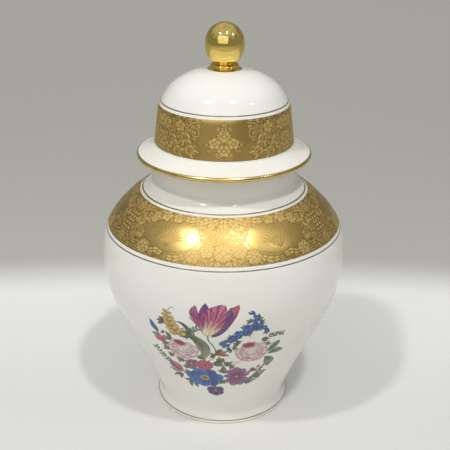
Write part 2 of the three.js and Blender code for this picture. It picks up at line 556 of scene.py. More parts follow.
@dataclass(frozen=True)
class EtchedGilding:
    """Fired gold over an etched pattern: bright on the smooth glaze, matt where the glaze is bitten.

    Attributes:
        gold: Colour of the gold on the smooth glaze.
        worn: Colour of its duller patches.
        matt: Colour of the gold on the bitten glaze, painted paler as painted light.
        groove: Colour in the grooves that edge each shape and on the ribs, painted darker as painted shade.
        shine: Roughness of the gold on the smooth glaze.
        bloom: What the bite adds to the roughness.
        polish: Share of the burnisher's thin clear sheen.
        sheen: Roughness of that sheen.
        dulled: How much of it the bite takes.
        plain: Share of the bitten grain on the smooth glaze.
        grain: Depth of the bitten grain, in metres.
    """

    gold: Colour = srgb(214, 184, 112)
    worn: Colour = srgb(200, 168, 98)
    # matt is painted light and groove is painted shade on the same gold.
    matt: Colour = srgb(226, 198, 130)
    groove: Colour = srgb(146, 114, 56)
    shine: float = 0.3
    bloom: float = 0.3
    polish: float = 0.1
    sheen: float = 0.06
    dulled: float = 0.8
    plain: float = 0.2
    grain: float = 0.00004

    def material(self) -> Material:
        """The material, which reads the marks that the etcher leaves on the mesh."""
        shader = Shader.material("etched_gilding")
        etched = shader.mark("etch")
        cloud = shader.noise(34.0, detail=3.0, distortion=0.5).eased(0.3, 0.7)
        ground = shader.mix(cloud, self.gold, self.worn)
        grain = shader.noise(1900.0) * (self.plain + etched * (1 - self.plain))
        return shader.finish(
            # Painted light and shade: paler matt colour on the bitten gold, darker groove colour in the
            # grooves and on the ribs.
            Base_Color=shader.mix(shader.mark("cut"), shader.mix(etched, ground, self.matt), self.groove),
            Metallic=1.0,
            Roughness=self.shine + etched * self.bloom + shader.noise(120.0) * 0.05,
            Coat_Weight=self.polish * (1 - etched * self.dulled),
            Coat_Roughness=self.sheen,
            Normal=shader.bump(grain, self.grain),
        )


@dataclass(frozen=True)
class BrushedGilding:
    """Gold laid with the brush, in a thick rolled edge or in a thin dull line, darker partly as painted
    reflection.

    Attributes:
        name: Name of the material.
        gold: Colour of the gold.
        thin: Colour where the brush left it thin.
        shine: Roughness of the burnished gold.
        metal: How metallic it is, less than 1 where the glaze shows through.
        ripple: Depth of the brush's ripple, in metres.
    """

    name: str = "bright_gilding"
    gold: Colour = srgb(230, 204, 134)
    thin: Colour = srgb(206, 174, 104)
    shine: float = 0.16
    metal: float = 1.0
    ripple: float = 0.00004

    def material(self) -> Material:
        """The material: brush-thin patches and a faint ripple from the brush."""
        shader = Shader.material(self.name)
        thin = shader.noise(70.0, detail=3.0).eased(0.45, 0.75)
        return shader.finish(
            Base_Color=shader.mix(thin, self.gold, self.thin),
            Metallic=self.metal,
            Roughness=self.shine + shader.noise(240.0) * 0.1,
            Normal=shader.bump(shader.noise(420.0), self.ripple),
        )


@dataclass(frozen=True)
class PolishedBrass:
    """Turned brass, polished and gold plated, with the faintest trace of the lathe.

    Attributes:
        gold: Colour of the plating.
        deep: Colour of its deeper patches.
        shine: Roughness of the polish.
        smear: What a handling smear adds to the roughness.
        lathe: Bands of turning marks in the length that Blender counts them by.
        mark: Depth of the turning marks, in metres.
    """

    gold: Colour = srgb(244, 217, 128)
    deep: Colour = srgb(232, 199, 106)
    shine: float = 0.05
    smear: float = 0.05
    lathe: float = 900.0
    mark: float = 0.0000012

    def material(self) -> Material:
        """The material: clean plating, hairline turning marks and light handling smears."""
        shader = Shader.material("polished_brass")
        smear = shader.noise(55.0, detail=4.0, distortion=0.8).eased(0.4, 0.75)
        turning = shader.node(
            "TexWave",
            {"wave_type": "BANDS", "bands_direction": "Z"},
            {"Vector": shader.place(), "Scale": self.lathe, "Distortion": 0.6},
        )
        return shader.finish(
            Base_Color=shader.mix(smear, self.gold, self.deep),
            Metallic=1.0,
            Roughness=self.shine + smear * self.smear,
            Normal=shader.bump(turning, self.mark),
        )


@dataclass(frozen=True)
class ZincSteel:
    """Zinc-plated steel of the stud, washer and nut.

    Attributes:
        zinc: Colour of the plating.
        dull: Colour of its dulled patches.
        shine: Roughness of the plating.
        spangles: Spangles in a metre.
        grain: Depth of its grain, in metres.
    """

    zinc: Colour = srgb(196, 198, 198)
    dull: Colour = srgb(150, 152, 150)
    shine: float = 0.3
    spangles: float = 520.0
    grain: float = 0.00002

    def material(self) -> Material:
        """The material: spangled plating."""
        shader = Shader.material("zinc_steel")
        spangle = shader.cells(self.spangles)
        return shader.finish(
            Base_Color=shader.mix(spangle.eased(0.2, 0.8), self.zinc, self.dull),
            Metallic=1.0,
            Roughness=self.shine + spangle * 0.15,
            Normal=shader.bump(shader.noise(1500.0, detail=3.0), self.grain),
        )


@dataclass(frozen=True)
class PressedCork:
    """Cork granules pressed into a washer.

    Attributes:
        light: Colour of the light granules.
        dark: Colour of the dark granules.
        rough: Roughness of the granules.
        granules: Granules in a metre.
        relief: Height of the granules over their seams, in metres.
    """

    light: Colour = srgb(196, 158, 112)
    dark: Colour = srgb(120, 84, 52)
    rough: float = 0.85
    granules: float = 700.0
    relief: float = 0.0002

    def material(self) -> Material:
        """The material: granules of several browns with dark seams."""
        shader = Shader.material("pressed_cork")
        seam = shader.cells(self.granules)
        brown = shader.lots(self.granules, "Green") * 0.6 + seam.eased(0.4, 0.8) * 0.4
        return shader.finish(
            Base_Color=shader.mix(brown, self.light, self.dark),
            Roughness=self.rough + seam * 0.1,
            Normal=shader.bump(seam, self.relief),
        )


@dataclass(frozen=True)
class Finish:
    """A material, and the record's finish that it is, if any."""

    material: Material
    slot: Slot | None = None


class Finishes:
    """The finishes of the urn, made once and shared."""

    def __init__(self) -> None:
        """Makes the materials."""
        # The lines' gold is darker and greyer: partly duller thin gold, partly a painted dark reflection.
        dark_line_gold = BrushedGilding("dark_line_gilding", srgb(150, 142, 108), srgb(112, 104, 76), 0.3, 0.7)
        self.porcelain = Finish(Porcelain().material(), Slot.PORCELAIN)
        self.flowers = Finish(Porcelain(painted=True).material())
        self.etched = Finish(EtchedGilding().material(), Slot.ETCHED)
        self.bright = Finish(BrushedGilding().material(), Slot.BRIGHT)
        self.line = Finish(dark_line_gold.material(), Slot.BRIGHT)
        self.brass = Finish(PolishedBrass().material(), Slot.BRASS)
        self.steel = Finish(ZincSteel().material(), Slot.STEEL)
        self.cork = Finish(PressedCork().material(), Slot.CORK)


def fitted(piece: Object, finish: Finish, body: Body, *nodes: str) -> Object:
    """Dresses a piece and fixes it to the frame.

    Args:
        piece: The piece, in place.
        finish: Its finish.
        body: The body that it rides on.
        nodes: Nodes that it stands for.

    Returns:
        The same piece.
    """
    piece.data.materials.append(finish.material)
    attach(piece, body.value)
    if nodes:
        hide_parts(*nodes)
    return piece


@dataclass
class Track:
    """Grid points near a line, and where they lie along it.

    Attributes:
        window: Rows and columns of the grid that the values are for.
        share: How far along the line each point lies, from 0 to 1.
        offset: Distance from the line, negative on its right.
    """

    window: Window
    share: Grid
    offset: Grid

    @property
    def distance(self) -> Grid:
        """Distance from the line on either side."""
        return np.abs(self.offset)


@dataclass
class Ground:
    """A stretch of surface laid out flat, whose grid points know their place in millimetres.

    Attributes:
        across: Place along the width of each point, by row and column.
        up: Place along the height of each row.
        STEP: Spacing of the points of a line that is followed.
        SOFT: Width over which the edge of a shape fades.
    """

    across: Grid
    up: Grid
    STEP: ClassVar[float] = 0.8
    SOFT: ClassVar[float] = 0.4

    def window(self, points: Grid, reach: float) -> Window:
        """Finds the part of the grid round some points.

        Args:
            points: The points, one row each.
            reach: How far round them the part reaches.

        Returns:
            Its rows and columns, none where the points lie off the grid.
        """
        low, high = points.min(0) - reach, points.max(0) + reach
        rows = np.flatnonzero((self.up > low[1]) & (self.up < high[1]))
        part = self.across[rows]
        columns = np.flatnonzero(((part > low[0]) & (part < high[0])).any(0))
        if not columns.size:
            return NOWHERE
        return slice(rows[0], rows[-1] + 1), slice(columns[0], columns[-1] + 1)

    def places(self, window: Window) -> Grid:
        """Place of each grid point of a window, by row, column and coordinate."""
        across = self.across[window]
        return np.stack([across, np.broadcast_to(self.up[window[0], None], across.shape)], -1)

    def track(self, line: Grid, reach: float) -> Track:
        """Measures the grid points round a line.

        Args:
            line: Its points, one row each.
            reach: How far round it they are measured.

        Returns:
            Where they lie along the line and off it.
        """
        window = self.window(line, reach)
        start, run = line[:-1], np.diff(line, axis=0)
        length = np.hypot(run[:, 0], run[:, 1])
        there = self.places(window)[..., None, :] - start
        share = clamp((there * run).sum(-1) / length**2)
        gap = there - share[..., None] * run
        distance = np.hypot(gap[..., 0], gap[..., 1])
        left = np.sign(run[:, 0] * there[..., 1] - run[:, 1] * there[..., 0])
        ends = travelled(line)
        along = (ends[:-1] + share * length) / ends[-1]
        signed = distance * np.where(left < 0, -1, 1)
        nearest = distance.argmin(-1)[..., None]
        return Track(window, *(np.take_along_axis(each, nearest, -1)[..., 0] for each in (along, signed)))

    def oval_places(self, centre: Point, radii: Point, tilt: float) -> tuple[Window, Grid, Grid, Grid]:
        """Measures the grid points round an oval.

        Args:
            centre: Its centre.
            radii: Half its length and half its width.
            tilt: Angle of its length in degrees.

        Returns:
            The window, places along and beside the length, and distance in shares of the radii.
        """
        middle = np.array(centre)
        window = self.window(middle[None], max(radii) + 1)
        away = self.places(window) - middle
        cosine, sine = direction(tilt)
        along = away[..., 0] * cosine + away[..., 1] * sine
        aside = away[..., 1] * cosine - away[..., 0] * sine
        return window, along, aside, np.hypot(along / radii[0], aside / radii[1])

    def inside(self, depth: Grid) -> Grid:
        """How far each point is in a shape, from 0 to 1, by its depth inside the shape's edge."""
        return clamp(depth / self.SOFT + 0.5)


@dataclass(frozen=True)
class Paint:
    """Enamel colours of a petal or a leaf.

    Attributes:
        foot: Colour at its foot.
        tip: Colour at its tip.
        vein: Colour of its veins or streaks.
        edge: Colour of its outline.
        veins: How many veins it has across.
        force: How strong the veins are, from 0 to 1.
        rim: How strong the outline is, from 0 to 1.
    """

    foot: Colour
    tip: Colour
    vein: Colour
    edge: Colour
    veins: float = 3
    force: float = 0.5
    rim: float = 0.55

    @classmethod
    def of(cls, *colours: tuple[int, int, int], **amounts: float) -> "Paint":
        """A paint whose four colours are written as screen values from 0 to 255."""
        return cls(*(srgb(*colour) for colour in colours), **amounts)


def blended(low: Grid | Colour, high: Grid | Colour, share: Grid) -> Grid:
    """Colours between two colours, by a share from 0 to 1 at each place."""
    return np.asarray(low) * (1 - share[..., None]) + np.asarray(high) * share[..., None]


@dataclass
class Painting(Ground):
    """A ground that takes enamel colours, the later over the earlier.

    Attributes:
        BARE: Thickness of enamel under which the glaze counts as bare.
    """

    BARE: ClassVar[float] = 1e-4

    def __post_init__(self) -> None:
        """Starts with bare glaze."""
        self.colour = np.ones((*self.across.shape, 3))
        self.cover = np.zeros(self.across.shape)

    def lay(self, window: Window, mask: Grid, colour: Grid | Colour) -> None:
        """Lays a colour over what is painted.

        Args:
            window: The part of the ground that takes it.
            mask: How thick it lies at each point, from 0 to 1.
            colour: One colour, or one for each point.
        """
        under = self.cover[window] * (1 - mask)
        total = under + mask
        parts = self.colour[window] * under[..., None] + np.asarray(colour) * mask[..., None]
        mixed = parts / np.maximum(total, self.BARE)[..., None]
        self.colour[window] = np.where(total[..., None] > self.BARE, mixed, 1.0)
        self.cover[window] = total

    def petal(self, window: Window, depth: Grid, colour: Grid, paint: Paint, rim: float) -> None:
        """Lays a shape by its depth inside its edge, with an outline of a width in the paint's colour."""
        edge = clamp(1 - depth / rim) * paint.rim
        self.lay(window, self.inside(depth), blended(colour, paint.edge, edge))

    def blade(self, spine: Line, width: float, paint: Paint, swell: float, blunt: float) -> None:
        """Paints a petal, a leaf or a bud along a spine.

        Args:
            spine: Points from its foot to its tip.
            width: Its greatest width.
            paint: Its colours.
            swell: Where along the spine it is widest, from 0 to 1.
            blunt: Below 1 for round ends, above 1 for pointed ones.
        """
        track = self.track(smooth(spine, self.STEP), width / 2 + 1)
        half = width / 2 * np.sin(math.pi * track.share ** (math.log(0.5) / math.log(swell))) ** blunt
        side = track.offset / np.maximum(half, 0.2)
        wobble = 0.35 * np.sin(9 * track.share + 5 * side)
        veins = stripes(math.pi * (paint.veins * side + wobble), 3) * paint.force
        colour = blended(paint.foot, paint.tip, track.share)
        colour = blended(colour, paint.vein, veins * (1 - 0.5 * track.share))
        self.petal(track.window, half - track.distance, colour, paint, 0.7)

    def blades(self, rows: Sequence[tuple[float | Paint, ...]], swell: float, blunt: float) -> None:
        """Paints blades, each row giving the x and y of three points, the width and the paint."""
        for *spine, width, paint in rows:
            self.blade(np.reshape(spine, (3, 2)), width, paint, swell, blunt)

    def patch(self, outline: Sequence[Point], foot: Point, paint: Paint) -> None:
        """Paints a broad petal with streaks that fan out from its foot.

        Args:
            outline: Points round its edge.
            foot: The place that its streaks come from.
            paint: Its colours, veins being counted over a half turn.
        """
        edge = smooth([*outline, outline[0]], self.STEP)
        track = self.track(edge, 1.0)
        place = self.places(track.window)
        start, end = edge[:-1], edge[1:]
        level = place[..., 1:]
        crosses = (start[:, 1] > level) != (end[:, 1] > level)
        rise = end[:, 1] - start[:, 1]
        rise = np.where(np.abs(rise) < 1e-9, 1e-9, rise)
        where = start[:, 0] + (level - start[:, 1]) * (end[:, 0] - start[:, 0]) / rise
        within = (crosses & (place[..., :1] < where)).sum(-1) % 2 == 1
        away = place - foot
        share = clamp(np.hypot(away[..., 0], away[..., 1]) / np.hypot(*(edge - foot).T).max())
        angle = np.arctan2(away[..., 1], away[..., 0])
        wobble = 1.3 * np.sin(5 * share + 3 * angle) + 0.8 * np.sin(13 * share)
        broken = 0.7 + 0.3 * np.sin(21 * share + 9 * angle) * np.sin(34 * angle - 8 * share)
        streaks = stripes(paint.veins * angle * 2 + wobble, 1.5) * broken * paint.force
        colour = blended(paint.foot, paint.tip, clamp(share * 2.5 - 0.35))
        colour = blended(colour, paint.vein, streaks * clamp(share * 2.4 - 0.35))
        self.petal(track.window, np.where(within, 1, -1) * track.distance, colour, paint, 0.9)

    def lobe(self, centre: Point, radii: Point, tilt: float, paint: Paint) -> None:
        """Paints an oval petal.

        Args:
            centre: Its centre.
            radii: Half its length and half its width.
            tilt: Angle of its length in degrees.
            paint: Its colours, the foot being its middle.
        """
        window, along, aside, share = self.oval_places(centre, radii, tilt)
        veins = stripes(paint.veins * math.pi * aside / radii[1] + 2.2 * along / radii[0], 3)
        colour = blended(paint.foot, paint.tip, clamp(share) ** 1.5)
        colour = blended(colour, paint.vein, veins * paint.force)
        self.petal(window, (1 - share) * min(radii), colour, paint, 0.8)

    def line(self, points: Line, width: float, colour: Colour, strength: float = 1.0) -> None:
        """Paints a stem or an outline that thins towards its end.

        Args:
            points: Points along it.
            width: Its width at its start.
            colour: Its colour.
            strength: How thick its enamel is, from 0 to 1.
        """
        track = self.track(smooth(points, self.STEP), width + 1)
        half = width / 2 * (1 - 0.45 * track.share)
        self.lay(track.window, self.inside(half - track.distance) * strength, colour)

    def tuft(
        self, foot: Point, reach: float, lean: float, spread: float, leaves: int, paints: Sequence[Paint]
    ) -> None:
        """Paints leaves that fan out from one foot.

        Args:
            foot: Where they start.
            reach: Length of the middle one.
            lean: Angle of the middle one in degrees.
            spread: Angle between the outer two.
            leaves: How many there are.
            paints: Their colours, taken in turn.
        """
        for number in range(leaves):
            share = 2 * number / max(leaves - 1, 1) - 1
            length = reach * (1 - 0.25 * abs(share) - 0.12 * (number % 2))
            middle = foot + direction(lean + share * spread * 0.5) * length * 0.55
            tip = middle + direction(lean + share * spread * 0.7) * length * 0.45
            self.blade([foot, middle, tip], length * 0.34 + 0.4, paints[number % len(paints)], 0.5, 0.8)

    def bloom(
        self, centre: Point, radii: Point, petals: int, paint: Paint, turn: float, fullness: float = 1.15
    ) -> None:
        """Paints an open flower of separate petals.

        Args:
            centre: Its centre.
            radii: Half its width and half its height.
            petals: How many petals it has.
            paint: Their colours.
            turn: Angle of the first petal in degrees.
            fullness: Width of a petal against its share of the rim.
        """
        for number in range(petals):
            out = direction(turn + 360 * number / petals) * radii
            width = float(np.hypot(*out)) * 2.6 / petals * fullness * 1.6
            spine = [centre + out * share for share in (0.12, 0.55, 1.0)]
            self.blade(spine, width, paint, swell=0.62, blunt=0.55)


GREEN = Paint.of((62, 90, 60), (112, 132, 90), (38, 60, 42), (36, 56, 40), veins=1, rim=0.7)
PALE_GREEN = Paint.of((92, 110, 74), (162, 168, 124), (60, 80, 54), (48, 70, 48), veins=2, rim=0.8)
BLUE_GREEN = Paint.of((70, 100, 84), (134, 152, 130), (44, 70, 58), (40, 66, 56), veins=1, rim=0.7)
OLIVE = Paint.of((102, 96, 56), (146, 136, 86), (66, 60, 38), (60, 56, 40), veins=1, rim=0.7)
BROWN = Paint.of((104, 54, 42), (150, 96, 68), (76, 38, 32), (70, 36, 34), veins=1, rim=0.7)
FOLIAGE = (GREEN, BLUE_GREEN, OLIVE)
STEM = srgb(74, 92, 64)
LEAF_RIB = srgb(44, 68, 56)
TULIP_STREAK = srgb(124, 12, 62)
ROSE_FOLD = srgb(158, 92, 106)
TULIP = Paint.of((240, 226, 178), (206, 118, 156), (136, 20, 72), (116, 30, 80), veins=17, rim=0.9, force=1)
TULIP_LILAC = Paint.of(
    (218, 176, 196), (172, 92, 138), (122, 32, 88), (104, 40, 86), veins=11, force=0.85, rim=0.85
)
TULIP_VIOLET = Paint.of(
    (104, 62, 122), (118, 76, 134), (62, 32, 82), (58, 32, 74), veins=10, force=0.75, rim=0.8
)
TULIP_OUTER = Paint.of(
    (138, 66, 124), (192, 84, 120), (116, 26, 72), (100, 34, 78), veins=11, force=0.85, rim=0.8
)
BLUE = Paint.of((16, 62, 144), (42, 102, 184), (12, 46, 112), (16, 42, 100), force=0.7)
PALE_BLUE = Paint.of((30, 78, 160), (74, 130, 204), (20, 54, 124), (20, 48, 108), rim=0.8)
BLUE_SMALL = Paint.of((38, 72, 150), (70, 108, 182), (20, 42, 100), (18, 38, 92), veins=1, rim=0.9)
ROSE_BOWL = Paint.of(
    (246, 238, 232), (208, 192, 190), (210, 182, 186), (158, 108, 118), veins=2, force=0.35, rim=0.7
)
ROSE_PETAL = Paint.of(
    (242, 226, 222), (214, 172, 176), (186, 132, 144), (150, 82, 98), force=0.4, rim=0.7
)
ROSE_HEART = Paint.of((150, 48, 68), (200, 106, 114), (118, 26, 50), (146, 62, 80), veins=4, force=0.8)
ASTER = Paint.of((150, 28, 70), (208, 104, 138), (120, 18, 56), (110, 26, 66), veins=1, rim=0.7)
MAUVE = Paint.of((92, 32, 84), (172, 112, 160), (96, 36, 92), (80, 34, 80), force=0.7, rim=0.7)
PANSY = Paint.of((70, 38, 98), (130, 96, 154), (52, 26, 80), (50, 28, 76), force=0.7, rim=0.8)
YELLOW = Paint.of((166, 118, 40), (232, 204, 112), (124, 84, 34), (102, 70, 36), veins=2, rim=0.9)
ORANGE = Paint.of((148, 80, 42), (178, 126, 74), (100, 54, 34), (88, 48, 34), veins=2, rim=0.8)
PINK_BUD = Paint.of((172, 56, 80), (212, 124, 136), (136, 32, 58), (118, 38, 60), veins=2, rim=0.8)
STRIPED = Paint.of((140, 48, 98), (108, 82, 146), (90, 30, 86), (78, 40, 86), veins=5, force=0.9)
YOLK = (222, 196, 116)
DARK_EYE = (84, 26, 42)
YOLK_EYE = Paint.of(YOLK, YOLK, DARK_EYE, DARK_EYE, rim=0.9)
DAISY_RING = Paint.of((112, 30, 50), (140, 50, 76), DARK_EYE, DARK_EYE)
DAISY_EYE = Paint.of(YOLK, (190, 140, 80), DARK_EYE, (130, 70, 50))
EYE = Paint.of((214, 204, 150), (190, 190, 160), (160, 160, 120), (90, 110, 150))
CENTRE = Paint.of((84, 92, 62), (204, 200, 140), (70, 76, 48), (50, 58, 50), veins=6, rim=0.9)


class FlowerSpray(Painting):
    """The loose spray of garden flowers painted on the front of the jar.

    Places are millimetres across from the front and up the side from the jar's base_height.
    """

    def paint(self) -> None:
        """Paints every flower, from the back of the spray to its front."""
        self.leaves()
        self.foliage()
        self.sprigs()
        self.rose((-34.5, 41), (14.6, 14.6), (-4.4, 7.8), -12)
        self.rose((24.8, 40.5), (14.8, 15.2), (-1.3, 10), 8)
        self.yellow_spray()
        self.forget_me_nots()
        self.tulip()
        self.buds()
        self.low_flowers()

    def tulip(self) -> None:
        """The large tulip: back, side and shaded petals behind one broad front petal, and its stem."""
        lower = [(-6.3, 45.7), (-6.1, 39.3), (-7.8, 32.5), (-13, 27)]
        self.line([(-12.3, 63), (-11.9, 57.1), (-8.6, 51.6), *lower], 1.3, STEM)
        for outline, foot, paint in (
            ([(-13.9, 96.2), (-17.8, 91.6), (-20, 84), (-17, 78), (-11, 86), (-11.4, 91.6)],
             (-14, 66), TULIP_VIOLET),
            ([(-22.8, 93.4), (-26.8, 89.4), (-27.6, 84.6), (-24.8, 79.4), (-19.4, 72.6), (-17.6, 78),
              (-20.4, 87), (-21.4, 91.6)], (-13, 62), TULIP_LILAC),
            ([(12.9, 95), (9, 92.8), (5.4, 91.4), (3, 82), (3.6, 72), (6.8, 75.6), (10.6, 82.3),
              (12.9, 87.8), (14, 92.7)], (-8, 62), TULIP_OUTER),
            ([(5.6, 91.2), (8.4, 86.8), (8.5, 80.3), (5.4, 73.3), (1, 67.1), (-4, 62.8), (-9.4, 61.6),
              (-6, 68), (-1, 76), (1.6, 86)], (-10, 61), TULIP_VIOLET),
            ([(-19.8, 80), (-17.6, 84.9), (-14, 88.4), (-10.3, 91.9), (-5, 94.1), (-0.8, 95.2), (0.9, 94),
              (2.4, 94.4), (3.4, 91), (3.3, 85.8), (2.3, 79.2), (0, 73.3), (-3.6, 68), (-7.7, 64.4),
              (-12.3, 62.2), (-16.2, 64.5), (-18.8, 69.5), (-20.2, 74.6)], (-12.6, 62.4), TULIP),
            ([(-19.8, 80), (-17.8, 84.9), (-14.8, 88), (-14.6, 80), (-15.4, 72), (-17.2, 67), (-18.8, 69.5),
              (-20.2, 74.6)], (-14.6, 62.4), TULIP_LILAC),
        ):
            self.patch(outline, foot, paint)
        for number in range(15):
            run = direction(130 - 6.6 * number)
            reaches = (10 + 4 * (number % 3), 24 + 2.4 * (number % 2) + number * 0.24)
            inner, outer = ((-12.6, 62.4) + run * reach * (0.94, 1) for reach in reaches)
            streak = [outer, (inner + outer) / 2 + (0.5, 0), inner]
            self.line(streak, (1.4, 0.8, 1)[number % 3], TULIP_STREAK, 0.8)
        self.line([(-12.6, 62.6), (-11, 66), (-10.4, 71)], 1, srgb(158, 140, 62), 0.6)

    def leaves(self) -> None:
        """The tulip's long bent leaf, the leaves of the right rose and the small leaves between."""
        curled = [(-41.4, 73), (-36.7, 74.4), (-31.8, 71.4), (-28.2, 65.2), (-26.4, 55)]
        self.blade(curled, 4.2, GREEN, 0.55, 1.1)
        bent = [(-27.4, 60.4), (-21.6, 56), (-16.4, 48.6), (-14.6, 40), (-16.6, 27.6)]
        self.blade(bent, 10.2, PALE_GREEN, 0.42, 0.85)
        self.line([(-26.8, 60), (-20, 52), (-16.6, 43), (-16.8, 29)], 1.2, srgb(52, 74, 50), 0.8)
        for spine, width in (
            ([(38.7, 36), (43.6, 42), (50.6, 49.6)], 7.4),
            ([(39, 33), (46, 35.4), (54.8, 34.4)], 7.8),
            ([(37, 30), (40.6, 24), (41.8, 15.4)], 10.4),
        ):
            self.blade(spine, width, BLUE_GREEN, 0.58, 0.8)
            self.line(spine, 0.8, LEAF_RIB, 0.8)
        self.blades((
            (-8.6, 25, -3, 27, 1.2, 33.4, 6, GREEN),
            (-8.6, 24, -3.6, 22.6, 1.6, 23, 5.2, OLIVE),
            (-11, 33, -8, 36, -10, 41, 4.2, GREEN),
            (-47, 46, -50, 44, -55, 42, 5.4, GREEN),
            (-44, 54, -48, 57.4, -49.6, 60.6, 3.8, GREEN),
            (-43, 53, -46, 52, -50.6, 53.4, 3.4, OLIVE),
            (-22, 15, -28, 14, -34, 17, 4.6, GREEN),
            (3, 12, 1, 16, 0.6, 20.6, 4.4, GREEN),
            (33, 54, 36, 55.4, 39, 54.4, 5, GREEN),
        ), 0.5, 0.9)

    def foliage(self) -> None:
        """Tufts of small dark leaves behind and between the flowers."""
        for x, y, reach, lean, spread, leaves in (
            (-46, 50, 8, 130, 90, 4), (-47, 38, 9, 200, 80, 4), (-44, 30, 8, 225, 90, 4),
            (-36, 26, 8, 250, 120, 5), (-26, 27, 7, 300, 110, 4), (-33, 57, 9, 80, 100, 5),
            (-27, 57, 9, 50, 80, 4), (-20, 30, 8, 60, 100, 4), (-28, 6, 9, 195, 80, 4),
            (-29, 13, 8, 160, 70, 4), (-25, -4, 9, 235, 70, 4), (-2, -3, 9, 320, 80, 4),
            (-1, 10, 8, 60, 110, 5), (2, 22, 9, 40, 90, 5), (-3, 27, 9, 75, 70, 4),
            (6, 20, 7, 330, 80, 3), (13, 51, 7, 140, 90, 3), (37, 46, 8, 60, 70, 3),
            (20, -5, 9, 320, 70, 4),
            (27, -1, 10, 20, 90, 5), (24, 10, 8, 30, 70, 3), (8, 45, 7, 200, 80, 3),
        ):
            self.tuft((x, y), reach, lean, spread, leaves, FOLIAGE)

    def sprigs(self) -> None:
        """Thin stems with rows of small leaves at both sides of the spray, and the stem of a rose."""
        for line, size, steps in (
            ([(-46, 15), (-54.3, 22.3), (-62.6, 33.8)], 5, 7),
            ([(-30.6, 55), (-30, 62), (-26, 67), (-20.8, 70.8)], 4.2, 7),
            ([(-36, 57), (-34.6, 62.4), (-35.4, 67)], 3.8, 4),
            ([(18, -9), (26.8, -3.6), (34.8, 7.2)], 6, 7),
            ([(34, 52), (42.5, 58.6), (53.6, 58)], 3.6, 7),
        ):
            stem = smooth(line, 0.5)
            self.line(line, 0.8, STEM)
            for step in range(steps):
                index = round((step + 0.7) / (steps + 0.4) * (len(stem) - 2))
                run, left = heading(stem, index)
                for aside in (-left, left):
                    out = run * 0.75 + aside * 0.8
                    spine = [stem[index] + out * size * part for part in (0, 0.55, 1)]
                    self.blade(spine, size * 0.46, (GREEN, OLIVE)[step % 2], 0.5, 0.9)
        self.line([(-6, 22), (0, 20.6), (6.4, 21.4), (12.1, 25.2), (17, 29)], 1.1, STEM)

    def rose(self, centre: Point, size: Point, heart: Point, lean: float) -> None:
        """A full rose: loose outer petals, inner petals, the folded bowl, and the deep heart at its top.

        Args:
            centre: Its centre.
            size: Half its width and half its height.
            heart: Place of its heart from the centre.
            lean: Angle that it leans by, in degrees.
        """
        (wide, high), (cosine, sine) = size, direction(lean)
        tilt = np.array([[cosine, sine], [-sine, cosine]])

        def place(x: float, y: float) -> Grid:
            """A place in the rose, from shares of its half width and half height."""
            return centre + np.array([x * wide, y * high]) @ tilt

        for angle, out, length, width in (
            (60, 0.58, 0.34, 0.24), (122, 0.56, 0.34, 0.24), (166, 0.72, 0.36, 0.26), (14, 0.74, 0.38, 0.28),
            (204, 0.68, 0.42, 0.28), (334, 0.7, 0.44, 0.3), (240, 0.7, 0.38, 0.28), (300, 0.72, 0.4, 0.3),
            (268, 0.72, 0.36, 0.28),
            (186, 0.46, 0.4, 0.24), (352, 0.46, 0.4, 0.24), (226, 0.44, 0.4, 0.24), (314, 0.44, 0.42, 0.24),
            (270, 0.46, 0.44, 0.24),
        ):
            angle += 7 * math.sin(angle)
            spot = place(*(direction(angle) * out))
            self.lobe(spot, (length * wide, width * high), angle + 90 + lean, ROSE_PETAL)
        self.lobe(place(0, 0.14), (0.58 * wide, 0.52 * high), lean, ROSE_BOWL)
        for drop, reach, strength in ((0.16, 0.52, 0.7), (-0.04, 0.5, 0.6), (-0.22, 0.4, 0.7)):
            fold = [place(-reach, drop + 0.24), place(-0.06, drop - 0.14), place(reach, drop + 0.28)]
            self.line(fold, 0.8, ROSE_FOLD, strength)
        top = (heart[0] / wide, heart[1] / high)
        self.lobe(place(top[0], top[1] - 0.06), (0.44 * wide, 0.30 * high), lean, ROSE_PETAL)
        self.lobe(place(*top), (0.35 * wide, 0.22 * high), lean - 6, ROSE_HEART)
        for number in range(9):
            aside, bends = (number - 4) * 0.08, ((0.6, -0.2), (1, 0.02), (1.2, 0.2))
            strand = [place(top[0] + aside * part, top[1] + rise) for part, rise in bends]
            self.line(strand, 0.6, srgb(120, 26, 52), 0.75)
        for start, end, sink in ((-0.86, -0.2, -0.62), (-0.3, 0.5, -0.8), (0.3, 0.94, -0.44)):
            curl = [place(start, sink + 0.3), place((start + end) / 2, sink - 0.08), place(end, sink + 0.12)]
            self.line(curl, 0.9, srgb(140, 62, 80), 0.75)

    def yellow_spray(self) -> None:
        """The spike of yellow bells with its curled green tip and brown buds."""
        stem = [(-36.8, 60), (-42, 65), (-45.6, 73), (-47.6, 82), (-43.6, 88.2), (-40.4, 87.4)]
        self.line(stem, 0.9, STEM)
        for x, y, size, lean in (
            (-48.8, 83, 3.4, 150), (-46, 81.6, 3.2, 20), (-48.6, 79, 4.4, 165), (-45, 77.6, 4.2, 10),
            (-48, 74.6, 5, 170), (-43.8, 73.6, 4.8, 5), (-46.4, 70.2, 5.4, 172), (-41.8, 69.4, 5.2, 8),
            (-43.6, 65.4, 5.8, 176), (-38.8, 65, 5.4, 15), (-40.6, 60.8, 6, 176), (-36, 60.6, 5.4, 15),
        ):
            out = direction(lean)
            foot = (x, y) - out * size * 0.6
            spine = [foot, (x, y), foot + out * size * 1.6]
            self.blade(spine, size * 0.95, YELLOW, 0.6, 0.55)
        self.blades((
            (-50.4, 70.6, -54, 72, -58.2, 71.4, 3.2, BROWN),
            (-51, 70, -54.4, 69, -57.2, 67.2, 3.2, BROWN),
            (-51, 71.4, -53, 74.4, -56, 75.6, 3.2, BROWN),
        ), 0.5, 0.8)
        self.line([(-46, 67), (-50, 69.6), (-53, 70.4)], 0.7, STEM)

